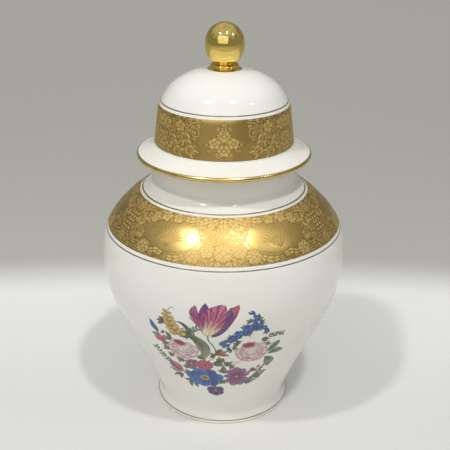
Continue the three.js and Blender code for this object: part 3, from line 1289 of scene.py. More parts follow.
    def forget_me_nots(self) -> None:
        """The arching spike of small blue flowers among small leaves."""
        stem = [(4, 46), (7.5, 56), (16, 63.4), (24, 69.4), (28.6, 78), (24.2, 86.4)]
        self.line(stem, 1.2, STEM)
        self.line([(24, 69.4), (31, 72.4), (37, 66)], 0.9, STEM)
        for x, y, lean in (
            (21, 66, 290), (8, 60, 120), (31, 75, 40), (13, 63, 110), (36.6, 66, 280),
            (8, 48, 340), (18, 70, 100), (26, 71, 300), (4, 55, 160), (12, 57, 300),
            (29, 79, 20), (24, 77, 150),
        ):
            self.tuft((x, y), 6.4, lean, 70, 3, (GREEN, BLUE_GREEN))
        for x, y, size in (
            (-0.3, 53.4, 3.4), (3.4, 51.4, 2.8), (6.4, 57.6, 3.8), (10, 58.4, 3.4), (8.6, 61.6, 3),
            (13.4, 62.2, 3.6), (15.6, 65.6, 4), (12.2, 66.4, 2.8), (18.8, 64.8, 3), (19.4, 69.2, 3.6),
            (22.8, 67.6, 3.2), (23.6, 71.6, 3.8), (20.4, 73.2, 2.6), (27.2, 70.4, 3.2), (27, 74.6, 3.2),
            (31.2, 72.8, 3.6), (31, 69, 2.8), (35.2, 69.6, 3.2), (37.4, 66.2, 2.8), (28.2, 78.8, 2.8),
            (26.8, 82.6, 2.4), (24.6, 78.6, 2.2), (5, 46.6, 2.4), (1, 49.6, 2.2),
        ):
            paint = (BLUE_SMALL, PALE_BLUE)[round(x + y) % 2]
            self.bloom((x, y), (size * 0.88, size * 0.88), 5, paint, 90 + 9 * x)
            self.lobe((x, y), (size * 0.12, size * 0.12), 0, EYE)
        self.blades((
            (26.4, 83.6, 25.6, 86.4, 22.6, 88.6, 2.2, BLUE_SMALL),
            (28.6, 81, 29.8, 82.6, 30, 85.4, 2.2, BLUE_SMALL),
            (25.2, 85, 23.2, 85.6, 20.6, 87.4, 2.2, BLUE_SMALL),
        ), 0.5, 0.8)

    def buds(self) -> None:
        """Blue, pink, striped, orange and brown buds round the edge of the spray."""
        self.blades((
            (-58.4, 56.4, -61.6, 62, -65.2, 69.6, 5.4, BLUE_SMALL),
            (-57.6, 54.6, -58.6, 59, -61, 65, 3.8, GREEN),
            (-51, 43.4, -55, 48, -57.4, 55.6, 5.4, PINK_BUD),
            (-52.4, 45, -58, 47.2, -62, 51.6, 4.8, PINK_BUD),
            (-51.6, 45, -52, 50, -51, 55.2, 4.8, PINK_BUD),
            (-56.4, 50, -60.4, 53.4, -64.6, 52, 3, GREEN),
            (-55, 56, -52.6, 58, -51.6, 61, 3, GREEN),
            (-35, 4.4, -41, 9.8, -49, 17.4, 11, STRIPED),
            (-34.4, 3.2, -40, 11.6, -47, 19.2, 4.6, PINK_BUD),
            (-37.4, 3.4, -43, 7.4, -49, 12.4, 3.4, MAUVE),
            (-36.6, 2.6, -42, 2.4, -50, 5.6, 3.8, OLIVE),
            (-36.6, 1, -40.6, -2, -45.4, -6.4, 4, BROWN),
            (-35.4, 1, -37.4, -3, -38, -9, 3.8, BROWN),
            (-26, -7, -28.4, -11, -27.6, -18, 3.8, BROWN),
            (-25, -7, -24.4, -11, -21.6, -17.6, 3.8, OLIVE),
            (-26.4, -6, -30.6, -8, -35, -7, 4, GREEN),
            (-7, 37, -2, 38.6, 5.8, 36.4, 5, ORANGE),
            (-7, 38, -3, 41, 4, 42.2, 4.6, ORANGE),
            (-6, 38.6, -3.4, 43.6, 0.4, 46.4, 3.4, BROWN),
        ), 0.52, 0.8)
        self.line([(-57, 52), (-62.6, 64), (-66, 72)], 0.7, srgb(70, 98, 124), 0.8)
        self.line([(20, 4), (31.3, 12.6), (44, 17.6)], 0.7, STEM)
        for x, y in (
            (22.8, 8.6), (25.8, 12.6), (29, 9.8), (31.4, 15.4), (34.4, 12.4), (37, 16.6), (40.4, 15),
        ):
            paint = (BROWN, PINK_BUD)[round(x) % 2]
            self.blade([(x - 1.4, y - 1.6), (x, y), (x + 1.8, y + 2.2)], 3.2, paint, 0.5, 0.6)
        for x, y in ((41, 60.2), (44.4, 57.2), (47, 60), (50, 57.6)):
            self.blade([(x - 1, y - 0.6), (x, y), (x + 2, y + 0.8)], 2.4, BROWN, 0.5, 0.6)

    def low_flowers(self) -> None:
        """The aster, the blue anemone, the mauve daisy, the pansy and the small mauve flower."""
        self.bloom((-27.2, 20.4), (6, 7.4), 6, MAUVE, 20)
        self.lobe((-27.2, 20.4), (1.5, 1.8), 0, YOLK_EYE)
        self.bloom((-15.5, 20.8), (8.2, 8.4), 13, ASTER, 5, 1.5)
        self.bloom((-15.5, 21.2), (4.6, 5), 9, PINK_BUD, 25, 1.4)
        self.lobe((-15.5, 21.2), (2, 2.2), 0, ROSE_HEART)
        for number, (angle, reach) in enumerate(
            ((8, 0.56), (62, 0.5), (118, 0.5), (172, 0.56), (228, 0.52), (312, 0.52), (270, 0.46))
        ):
            place = (-15.8, 0.4) + direction(angle) * (16.4, 14.4) * reach
            self.lobe(place, (7.9, 6.7), angle, (PALE_BLUE, BLUE)[number % 2])
        for number in range(18):
            run = direction(number * 20 + 6)
            ray = [(-15.8, 0.2) + run * reach * (1, 0.92) for reach in (5, 8, 11.6)]
            self.line(ray, 0.8, srgb(18, 40, 100), 0.55)
        self.lobe((-15.6, 0.2), (4.6, 4.5), 0, CENTRE)
        self.lobe((-15.6, 0), (2.2, 2), 0, OLIVE)
        self.bloom((12.4, 3), (11.4, 15.6), 9, MAUVE, 12, 1.15)
        self.lobe((12.4, 3), (3.4, 4.4), 0, DAISY_RING)
        self.lobe((12.4, 3), (1.6, 2), 0, DAISY_EYE)
        self.blade([(-6, -12), (-7, -14.6), (-6.4, -17)], 4.6, GREEN, 0.5, 0.8)
        for x, y, wide, high in (
            (-9.8, -17.8, 4, 4.4), (-2.6, -17.4, 3.8, 4.4), (-8.8, -21.8, 3.8, 4), (-2.2, -22, 3.4, 4),
            (-5.6, -23.4, 4.2, 4.2),
        ):
            self.lobe((x, y), (wide, high), 0, PANSY)
        self.lobe((-5.8, -19.6), (1.2, 1.5), 0, YOLK_EYE)


@dataclass
class Etching(Ground):
    """A ground for the etcher.

    Attributes:
        matt: 0 where the glaze stays smooth and 1 where it is bitten matt, which the gold's finish also
            paints paler as painted light.
        cut: 1 in the grooves that edge the shapes and 0.7 on the ribs, which the gold's finish paints darker
            as painted shade.
        EDGE: Width of those grooves.
    """

    SOFT: ClassVar[float] = 0.45
    EDGE: ClassVar[float] = 0.55

    def __post_init__(self) -> None:
        """Starts smooth."""
        self.matt = np.zeros(self.across.shape)
        self.cut = np.zeros(self.across.shape)

    @property
    def end(self) -> float:
        """Width of the ground."""
        return float(self.across[0, -1])

    @property
    def top(self) -> float:
        """Height of the ground."""
        return float(self.up[-1])

    def draw(self) -> None:
        """Draws the whole pattern, which is empty on a plain ground."""

    def shape(self, window: Window, depth: Grid, rib: Grid | float = 0.0) -> None:
        """Lays a matt shape inside a groove.

        Args:
            window: The part of the ground that holds it.
            depth: Distance inside its edge, less than 0 outside.
            rib: 1 where a smooth rib runs over it.
        """
        border = clamp((depth + self.EDGE) / self.SOFT)
        # The groove round a shape and its ribs take cut, the painted shade of the gold's finish.
        for ground, edge, fill in ((self.matt, 0.0, 1 - rib), (self.cut, 1.0, rib * 0.7)):
            ground[window] += (edge - ground[window]) * border
            ground[window] += (fill - ground[window]) * self.inside(depth)

    def line(self, points: Line, width: float = 1.0) -> None:
        """Draws a matt line through points."""
        track = self.track(smooth(points, 1.0), width + 2)
        self.shape(track.window, width / 2 - track.distance)

    def scroll(self, centre: Point, size: float, start: float, hand: int) -> None:
        """Draws a volute that winds in from its outer end.

        Args:
            centre: Its eye.
            size: Radius of its outer end.
            start: Angle of its outer end in degrees.
            hand: 1 where it winds in to the left, -1 to the right.
        """
        share = np.linspace(0, 1, 36)
        angle = math.radians(start) + hand * 2.6 * math.pi * share
        radius = size * (1 - 0.8 * share)
        self.line(centre + np.column_stack([np.cos(angle), np.sin(angle)]) * radius[:, None], 1.1)
        self.oval(centre, (size * 0.26, size * 0.26))

    def oval(self, centre: Point, radii: Point, tilt: float = 0.0) -> None:
        """Lays a petal or berry, with a smooth line down its outer half where it is large.

        Args:
            centre: Its centre.
            radii: Half its length and half its width.
            tilt: Angle of its length in degrees.
        """
        window, along, aside, share = self.oval_places(centre, radii, tilt)
        rib = clamp(1.2 - np.abs(aside) / 0.4) * (along > 0) * (radii[0] > 2.4)
        self.shape(window, (1 - share) * min(radii), rib)

    def leaf(self, spine: Line, width: float, veins: float = 3) -> None:
        """Lays a leaf with lobed edges, a smooth midrib and side veins.

        Args:
            spine: Points from its foot to its tip.
            width: Its greatest width.
            veins: Lobes and veins on each side.
        """
        track = self.track(smooth(spine, self.STEP), width / 2 + 2)
        wave = np.cos(2 * math.pi * (veins * track.share - 0.16 * track.distance))
        half = width / 2 * np.sin(math.pi * track.share**0.8) ** 0.7 * (1 - 0.16 * clamp(wave))
        rib = clamp(1.25 - track.distance / 0.4)
        vein = clamp(wave * 2.4 - 1.4) * 0.8
        self.shape(track.window, half - track.distance, np.maximum(rib, vein) if width > 3 else 0.0)

    def tuft(self, foot: Point, reach: float, lean: float, spread: float, leaves: int, width: float) -> None:
        """Lays leaves that fan out from one foot.

        Args:
            foot: Where they start.
            reach: Length of the middle one.
            lean: Angle of the middle one in degrees.
            spread: Angle between the outer two.
            leaves: How many there are.
            width: Width of a leaf.
        """
        shares = np.linspace(-1, 1, leaves)
        for share in shares[np.argsort(-np.abs(shares))]:
            near = foot + direction(lean + share * spread / 2) * reach * 0.55
            tip = near + direction(lean + share * spread * 0.72) * reach * (0.45 - 0.12 * abs(share))
            self.leaf([foot, near, tip], width, 2)

    def plume(self, spine: Line, size: float, pairs: int) -> None:
        """Lays a stem with curled leaves on both sides, smaller towards its end.

        Args:
            spine: Points along the stem.
            size: Length of its first leaves.
            pairs: Leaves on each side.
        """
        stem = smooth(spine, 0.5)
        for number in range(pairs):
            place = round((number + 0.4) / pairs * (len(stem) - 2))
            run, left = heading(stem, place)
            length = size * (1 - 0.35 * number / pairs)
            for aside in (-left, left):
                near = stem[place] + (run * 0.35 + aside * 0.55) * length
                tip = stem[place] + (run * 1.0 + aside * 0.62) * length
                self.leaf([stem[place], near, tip], length * 0.46, 2)
        self.line(stem, 1.1)

    def blossom(self, centre: Point, size: float, petals: int, turn: float = 0.0) -> None:
        """Lays an open flower of round petals with an eye.

        Args:
            centre: Its centre.
            size: Its radius.
            petals: How many petals it has.
            turn: Angle of the first petal in degrees.
        """
        for number in range(petals):
            tilt = turn + 360 * number / petals
            place = centre + direction(tilt) * size * 0.58
            self.oval(place, (size * 0.46, size * min(0.44, 2.3 / petals)), tilt)
        self.oval(centre, (size * 0.26, size * 0.26))

    def carpet(self, step: float, smooth_oval: tuple[Point, Point]) -> None:
        """Covers the ground with small curled leaves, but for one oval.

        Args:
            step: Distance between them.
            smooth_oval: Centre and radii of the oval that stays smooth.
        """
        (x, y), (wide, high) = smooth_oval
        rows, columns = int(self.top / (step * 0.8)) + 1, int(self.end / step) + 1
        for number in range(rows * columns):
            row, column = divmod(number, columns)
            foot = np.array([step * (column + 0.5 * (row % 2)), step * 0.8 * (row + 0.3)])
            if np.hypot((foot[0] - x) / (wide + step / 2), (foot[1] - y) / (high + step / 2)) < 1:
                continue
            run = direction(137.5 * number) * step
            bend = np.array([-run[1], run[0]]) * 0.3
            self.leaf([foot - run * 0.6, foot + bend, foot + run * 0.6], step * 0.6, 2)

    def scales(self, low: Point, high: Point, size: float) -> None:
        """Fills a field with round scales in offset rows.

        Args:
            low: Its lower left corner.
            high: Its upper right corner.
            size: Distance between the scales.
        """
        rows, columns = int((high[1] - low[1]) / (size * 0.8)), int((high[0] - low[0]) / size)
        for number in range(rows * columns):
            row, column = divmod(number, columns)
            place = (low[0] + size * (column + 0.5 + 0.5 * (row % 2)), low[1] + size * 0.8 * (row + 0.5))
            self.oval(place, (size * 0.4, size * 0.34))


class ShoulderPattern(Etching):
    """Half a repeat of the band on the jar's shoulder."""

    def draw(self) -> None:
        """Draws everything, from the carpet of small leaves to the blossoms that lie over it."""
        oval = ((45.5, self.top * 0.48), (26.0, 13.4))
        self.carpet(5.6, oval)
        self.reserve(*oval)
        self.garland()
        self.panel()
        self.crest()
        self.bunch()

    def reserve(self, centre: Point, radii: Point) -> None:
        """Draws the palmette in the smooth oval between two bunches, and a line round the oval's foot.

        Args:
            centre: Centre of the oval.
            radii: Half its width and half its height.
        """
        x, y = centre
        self.tuft((x, y - 8), 17, 90, 110, 11, 0.9)
        self.line(arc((0, 0), 1, 190, 350, 15) * radii + centre, 0.5)

    def crest(self) -> None:
        """Draws the acanthus that hangs from the upper edge at the middle of each repeat."""
        top = self.top
        for spine, width in (
            ([(20, top - 2), (31, top - 4.6), (41, top - 3.2)], 5.4),
            ([(9, top - 2), (17, top - 4.6), (25, top - 9)], 6),
            ([(4, top - 2), (11, top - 9), (13.4, top - 19)], 6),
            ([(0, top - 1), (0, top - 8), (0, top - 18)], 7.6),
        ):
            self.leaf(spine, width, 4)
        self.scroll((17, top - 14.4), 3.8, 70, -1)
        self.scroll((7.4, top - 21.4), 4, 90, 1)

    def bunch(self) -> None:
        """Draws the bunch of blossoms under the crest."""
        self.tuft((6, 5), 9, 240, 100, 3, 4.4)
        self.leaf([(26, 8), (36, 3.6), (47, 4.6)], 5, 4)
        self.leaf([(12, 17), (16, 20.6), (18.6, 24.6)], 4, 3)
        self.blossom((0, 11.4), 7.6, 8)
        self.blossom((12.4, 12.6), 5.6, 5, 15)
        self.blossom((22.6, 7.4), 6, 6)

    def garland(self) -> None:
        """Draws blossoms and leaves over the oval and at its lower corner."""
        top = self.top
        self.plume([(37, top - 3.4), (50, top - 4), (64, top - 6), (75, top - 12)], 7.4, 6)
        for x, drop, size in ((43.5, 4.4, 4.8), (56, 4.8, 5.2), (68, 8.6, 5.6)):
            self.blossom((x, top - drop), size, 5, 7 * x)
        self.tuft((75, 10), 13, 84, 50, 3, 5.4)
        self.leaf([(60, 4.4), (52, 7), (44, 3)], 4.8, 4)
        self.blossom((65.4, 6.4), 6.4, 6, 10)

    def panel(self) -> None:
        """Draws the panel between two repeats: scales inside a frame of curled plumes."""
        end, top = self.end, self.top
        self.scales((end - 8.8, 9), (end + 4.4, 31), 4.4)
        self.plume([(end - 8, 3), (end - 15.5, 11), (end - 12, 20), (end - 16, 31)], 8.4, 6)
        self.leaf([(end - 18, top - 3), (end - 10, top - 5), (end - 3, top - 11)], 6, 4)
        self.scroll((end - 6.4, 5.6), 4.4, 180, -1)
        self.scroll((end - 20, top - 8), 4.4, 20, 1)
        self.blossom((end, top - 5.4), 5.8, 6)
        self.blossom((end, 5.4), 5.4, 6)


class LidPattern(Etching):
    """Half a repeat of the band on the lid: flowers on smooth gold, foliage at their sides."""

    def draw(self) -> None:
        """Draws everything, from the carpet of small leaves to the blossoms that lie over it."""
        self.carpet(5.2, ((8.0, self.top / 2), (15.0, self.top)))
        self.bunch()
        self.foliage()

    def bunch(self) -> None:
        """Draws the bunch of flowers at the middle of each repeat."""
        self.tuft((0, 22), 10, 90, 90, 3, 4.6)
        self.tuft((8, 12), 8.4, 10, 100, 3, 4)
        self.tuft((3, 6), 7, 300, 80, 3, 3.6)
        self.blossom((0, 20.4), 5.8, 6)
        self.blossom((7.6, 14.4), 4.8, 5, 20)
        self.blossom((0, 8.6), 5.2, 6)

    def foliage(self) -> None:
        """Draws the foliage between two bunches: plumes that wind among volutes and blossoms."""
        end, top = self.end, self.top
        for spine in (
            [(19, top - 2.4), (27, top - 4.4), (33, top - 12), (31, 11), (24, 4)],
            [(37, top - 2.8), (45, top - 7), (47.6, 17), (43, 7.4), (35, 3.6)],
            [(52, top - 3), (60, top - 8), (61, 15), (56, 6.6), (49, 3.6)],
        ):
            self.plume(spine, 7.4, 7)
        for x, y, start, hand in ((24.4, top - 12, 90, 1), (39.6, 17, 270, -1), (54, 16, 90, 1)):
            self.scroll((x, y), 4.4, start, hand)
        for x, y, size in (
            (39, top - 8, 5), (53.8, top - 8.4, 5), (end, 26, 5), (end, 6, 4.6),
        ):
            self.blossom((x, y), size, 5, 4 * x)


def gold_line(
    name: str, glaze: Grid, around: int, foot: float = 0.02, rise: float = 0.2, sink: float = 0.05
) -> Object:
    """Lays a line of gold round the pot.

    Args:
        name: Name of the piece.
        glaze: The glaze under it, from its lower edge to its upper.
        around: Steps round the pot.
        foot: Height of its edges over the glaze.
        rise: How much higher its middle is.
        sink: Depth of its hidden face in the glaze.

    Returns:
        The piece.
    """
    bulge = np.sin(np.linspace(0, math.pi, len(glaze))) ** 0.5
    crown = glaze + (beside(glaze, 1.0) - glaze) * (foot + rise * bulge)[:, None]
    return turned(name, np.vstack([crown, beside(glaze, -sink)[::-1]]), around)


@dataclass
class GiltBand:
    """A band of gold with a pattern etched under it, which repeats and mirrors round the pot.

    Attributes:
        name: Name of the piece.
        node: The node that it stands for.
        body: The body that it rides on.
        outline: The glaze under the band, from its lower edge to its upper.
        columns: Grid points in half a repeat.
        pattern: What is etched in half a repeat.
        repeats: Whole repeats round the pot.
        lift: Height of the gold's outer face over the glaze.
        depth: Depth of the bite.
        sink: Depth of its hidden face in the glaze.
        coarse: Rows of the outer face for one of the hidden face.
    """

    name: str
    node: str
    body: Body
    outline: Grid
    columns: int
    pattern: type[Etching]
    repeats: int = 3
    lift: float = 0.24
    depth: float = 0.1
    sink: float = 0.02
    coarse: int = 14

    def half_repeat(self) -> Etching:
        """The finished half repeat, laid out at the band's mean radius."""
        up = travelled(self.outline)
        width = math.pi * float(self.outline[:, 0].mean()) / self.repeats
        row = np.linspace(0, width, self.columns + 1)
        etching = self.pattern(np.broadcast_to(row, (len(up), len(row))), up)
        etching.draw()
        return etching

    def build(self, finish: Finish) -> Object:
        """Makes the band.

        Args:
            finish: Finish of the gold.

        Returns:
            The piece, a closed thin layer whose outer face follows the bite.
        """
        etching = self.half_repeat()
        around = 2 * self.columns * self.repeats
        local = np.abs((np.arange(around) + self.columns) % (2 * self.columns) - self.columns)
        normal = ring_points(beside(self.outline, 1.0) - self.outline, around)
        lift = self.lift - self.depth * etching.matt[:, local]
        outer = ring_points(self.outline, around) + normal * lift[..., None]
        inner = ring_points(self.outline[::-self.coarse], around) - normal[::-self.coarse] * self.sink
        rows = np.concatenate([outer, inner])
        hidden = np.zeros(len(inner) * around)
        # etch also paints the bitten gold paler and cut paints the grooves and ribs darker: painted light
        # and shade.
        marks = {
            label: np.concatenate([values[:, local].ravel(), hidden])
            for label, values in (("etch", etching.matt), ("cut", etching.cut))
        }
        piece = make_piece(self.name, rows.reshape(-1, 3), closed_faces(len(rows), around), marks)
        return fitted(piece, finish, self.body, self.node)


@dataclass
class Jar:
    """The jar: porcelain body, gold lines, etched shoulder band and painted flowers.

    Attributes:
        side: Radius and height of points of its side, from the foot to the neck.
        foot_inside: Radius of the foot ring's inner edge.
        floor_curve: How far in from the wall and over the floor the floor's curve starts and ends.
        fine: Spacing of the points that its outline is measured by.
        shoulder_band: Heights between which the etched band lies; the lines' are given likewise.
        base_height: Height that the spray's places count from.
        flower_angles: Angles round the axis between which the spray lies.
        flower_reach: Places up the side between which it lies.
        flower_step: Spacing of its grid.
        enamel: Thickness of the enamel.
        thinnest: Share of cover from which there is enamel.
    """

    finishes: Finishes
    side: tuple[Point, ...] = (
        (62.4, 2.4), (60.9, 6.5), (60.5, 11.5), (64.2, 24.0), (75.1, 50.5), (90.5, 82.5), (101.9, 109.0),
        (108.2, 132.5), (109.2, 153.0), (107.5, 167.5), (104.2, 178.2), (97.4, 189.0), (87.8, 199.5),
        (80.6, 205.7), (70.6, 212.75), (66.4, 215.2), (63.0, 218.6), (61.6, 224.0),
    )
    foot_radius: float = 62.9
    foot_edge: float = 1.4
    foot_ring_width: float = 9.0
    foot_inside: float = 1.0
    foot_recess: float = 5.2
    floor: float = 10.8
    floor_curve: tuple[Point, Point] = ((1.5, 3.2), (7.0, 0.0))
    wall: float = 4.8
    neck_radius: float = 61.6
    mouth: float = 244.8
    around: int = 256
    shoulder_band: Point = (179.8, 210.2)
    neck_line: Point = (211.5, 212.2)
    belly_line: Point = (176.1, 177.1)
    foot_line: Point = (2.5, 3.4)
    base_height: float = 60.0
    flower_angles: Point = (-42.0, 36.0)
    flower_reach: Point = (-31.0, 99.0)
    flower_step: float = 0.3
    enamel: float = 0.03
    thinnest: float = 0.02
    fine: float = 0.25

    def side_between(self, low: float, high: float, spacing: float) -> Grid:
        """The side of the jar between two heights, in even steps of about the given spacing."""
        return rising_part(smooth(self.side, self.fine), low, high, spacing)

    def body(self) -> Object:
        """The porcelain body, glazed but for the foot ring's underside."""
        lip, edge, ease = self.wall / 2, self.foot_edge, self.foot_inside
        hollow = beside(smooth(self.side[2:], 5.0), -self.wall)[::-1]
        foot = self.foot_radius - self.foot_ring_width
        floor_curve = [(hollow[-1][0] - aside, self.floor + rise) for aside, rise in self.floor_curve]
        parts = [
            [(0.0, self.foot_recess), (foot - 3 * ease, self.foot_recess)],
            arc((foot - ease, ease), ease, 180, 270, 30),
            arc((self.foot_radius - edge, edge), edge, -90, 0, 15),
            smooth(self.side, 2.0)[:-1],
            arc((self.neck_radius - lip, self.mouth - lip), lip, 0, 180),
            hollow[:-1],
            smooth([hollow[-1], *floor_curve], 1.5),
            [(0.0, self.floor)],
        ]
        outline = divided(np.vstack(parts), 4.0)
        on_foot_ring = (outline[:, 1] < 0.4) & (outline[:, 0] > foot - 2)
        piece = turned("jar_body", outline, self.around, {"bare": on_foot_ring.astype(float)})
        return fitted(piece, self.finishes.porcelain, Body.JAR, "jar")

    def line(self, name: str, heights: Point) -> Object:
        """A thin gold line painted round the jar between two heights."""
        piece = gold_line(f"{name}_line", self.side_between(*heights, 0.15), self.around)
        return fitted(piece, self.finishes.line, Body.JAR, f"{name}_gilt_line")

    def band(self) -> Object:
        """The wide etched band on the shoulder."""
        glaze = self.side_between(*self.shoulder_band, 0.51)
        band = GiltBand("shoulder_band", "shoulder_gilt_band", Body.JAR, glaze, 185, ShoulderPattern)
        return band.build(self.finishes.etched)

    def flowers(self) -> Object:
        """The painted spray, a skin of enamel on the glaze where there is paint and nowhere else."""
        curve = smooth(self.side, self.fine)
        run = travelled(curve)
        run -= np.interp(self.base_height, curve[:, 1], run)
        up = np.arange(*self.flower_reach, self.flower_step)
        outline = points_at(curve, run, up)
        widest = float(outline[:, 0].max())
        angle = np.arange(*np.radians(self.flower_angles), self.flower_step / widest * 1.05)
        spray = FlowerSpray(outline[:, :1] * angle, up)
        spray.paint()
        lifted = beside(outline, self.enamel)
        points = carried(lifted[:, :1], lifted[:, 1:], angle).reshape(-1, 3)
        faces = grid_faces(*spray.cover.shape, wrap=False)
        faces = faces[spray.cover.ravel()[faces].max(1) > self.thinnest]
        used, faces = np.unique(faces, return_inverse=True)
        marks = {"paint": spray.colour.reshape(-1, 3)[used], "cover": spray.cover.ravel()[used]}
        piece = make_piece("painted_flowers", points[used], faces.reshape(-1, 4).tolist(), marks)
        return fitted(piece, self.finishes.flowers, Body.JAR)

    def build(self) -> list[Object]:
        """Makes every piece of the jar."""
        return [
            self.body(),
            self.line("foot", self.foot_line),
            self.line("belly", self.belly_line),
            self.band(),
            self.line("neck", self.neck_line),
            self.flowers(),
        ]


@dataclass
class Lid:
    """The lid: porcelain shell with its bezel, etched band, gold line and gilt rim.

    Heights count from seat, the plane that rests on the mouth of the jar.

    Attributes:
        wall_foot: Radius and height at the foot of the wall that carries the band.
        shoulder: Points of the side where the wall turns into the dome.
        dome: Points of the dome, up to its crown.
        flange: Points of the flange's upper face, outwards.
        rim_bead: Radius of the flange's rolled edge.
        rim_span: Angles of that edge's section that the gilding covers.
        rim_gold: Height of the gilding over it.
        rim_sink: Depth of the gilding's hidden face in it.
        bezel_edge: Radius of the bezel's rounded lower edge.
    """

    finishes: Finishes
    seat: float = 244.85
    wall_foot: Point = (60.5, 8.9)
    shoulder: tuple[Point, ...] = ((57.0, 38.0), (56.5, 40.4), (55.7, 42.4))
    dome: tuple[Point, ...] = (
        (54.7, 44.3), (52.4, 48.4), (49.3, 53.3), (45.2, 57.9), (39.4, 62.2), (31.9, 66.2), (23.4, 69.4),
        (14.9, 71.05),
    )
    flange: tuple[Point, ...] = ((61.4, 7.4), (63.8, 5.6), (67.0, 3.6), (70.4, 1.95), (73.2, 0.75))
    wall: float = 4.6
    rim_radius: float = 76.1
    rim_bead: float = 2.1
    rim_height: float = -2.0
    rim_span: Point = (-110, 70)
    rim_gold: float = 0.25
    rim_sink: float = 0.1
    bezel_radius: float = 55.6
    bezel_wall: float = 3.8
    bezel_depth: float = 13.5
    bezel_edge: float = 1.2
    seat_radius: float = 67.1
    crown_thickness: float = 5.5
    hole_radius: float = 3.4
    band_heights: Point = (8.9, 42.1)
    line_heights: Point = (44.3, 45.2)
    around: int = 224

    def raised(self, outline: Grid) -> Grid:
        """An outline moved from the lid's own heights to the frame's."""
        return outline + np.array([0.0, self.seat])

    def side(self) -> Grid:
        """The side from the foot of the wall over the shoulder and the dome to the crown."""
        return np.vstack([[self.wall_foot], smooth([*self.shoulder, *self.dome], 0.5)])

    def shell(self) -> Object:
        """The porcelain shell, glazed but for the seat and the bezel's lower edge."""
        crown_radius, crown = self.dome[-1]
        foot, top = self.wall_foot, self.shoulder[0]
        inner = self.bezel_radius - self.bezel_wall
        edge, low = self.bezel_edge, self.bezel_edge - self.bezel_depth
        parts = [
            [(self.hole_radius, crown)], self.side()[::-1], smooth(self.flange, 1.5),
            arc((self.rim_radius - self.rim_bead, self.rim_height), self.rim_bead, *self.rim_span[::-1]),
            [(self.seat_radius, 0.0), (self.bezel_radius, 0.0)],
            arc((self.bezel_radius - edge, low), edge, 0, -90, 15),
            arc((inner + edge, low), edge, -90, -180, 15),
            smooth([(inner, 1.5), (foot[0] - self.wall, foot[1]), (top[0] - self.wall, top[1])], 4.0),
            beside(smooth(self.dome, 4.0)[:-1], -self.wall),
            [(crown_radius - 2.0, crown - self.crown_thickness)],
            [(self.hole_radius, crown - self.crown_thickness)],
        ]
        outline = divided(np.vstack(parts), 3.0)
        on_seat = (np.abs(outline[:, 1]) < 0.2) & (outline[:, 0] < self.seat_radius + 0.1)
        low_edge = outline[:, 1] < 0.6 - self.bezel_depth
        marks = {"bare": (on_seat | low_edge).astype(float)}
        piece = turned("lid_shell", self.raised(outline), self.around, marks)
        return fitted(piece, self.finishes.porcelain, Body.LID, "lid")

    def band(self) -> Object:
        """The etched band on the wall."""
        glaze = self.raised(rising_part(self.side(), *self.band_heights, 0.4))
        band = GiltBand("lid_band", "lid_gilt_band", Body.LID, glaze, 168, LidPattern)
        return band.build(self.finishes.etched)

    def line(self) -> Object:
        """The thin gold line over the shoulder."""
        glaze = self.raised(rising_part(self.side(), *self.line_heights, 0.15))
        piece = gold_line("lid_line", glaze, self.around)
        return fitted(piece, self.finishes.line, Body.LID, "lid_gilt_line")

    def rim(self) -> Object:
        """The gilding rolled over the edge of the flange."""
        centre = (self.rim_radius - self.rim_bead, self.rim_height)
        outer = arc(centre, self.rim_bead + self.rim_gold, *self.rim_span, 8)
        inner = arc(centre, self.rim_bead - self.rim_sink, *self.rim_span[::-1], 8)
        piece = turned("lid_rim", self.raised(np.vstack([outer, inner])), self.around)
        return fitted(piece, self.finishes.bright, Body.LID, "lid_rim_gilding")

    def build(self) -> list[Object]:
        """Makes every piece of the lid."""
        return [self.shell(), self.band(), self.line(), self.rim()]


@dataclass
class NodeRoom:
    """The room that a turned node takes in the frame, in millimetres."""

    radius: float
    low: float
    high: float

    @classmethod
    def of(cls, node: str) -> "NodeRoom":
        """Reads the room of a node from the frame."""
        low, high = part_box(node)
        return cls((high.x - low.x) / 2 / MM, low.z / MM, high.z / MM)


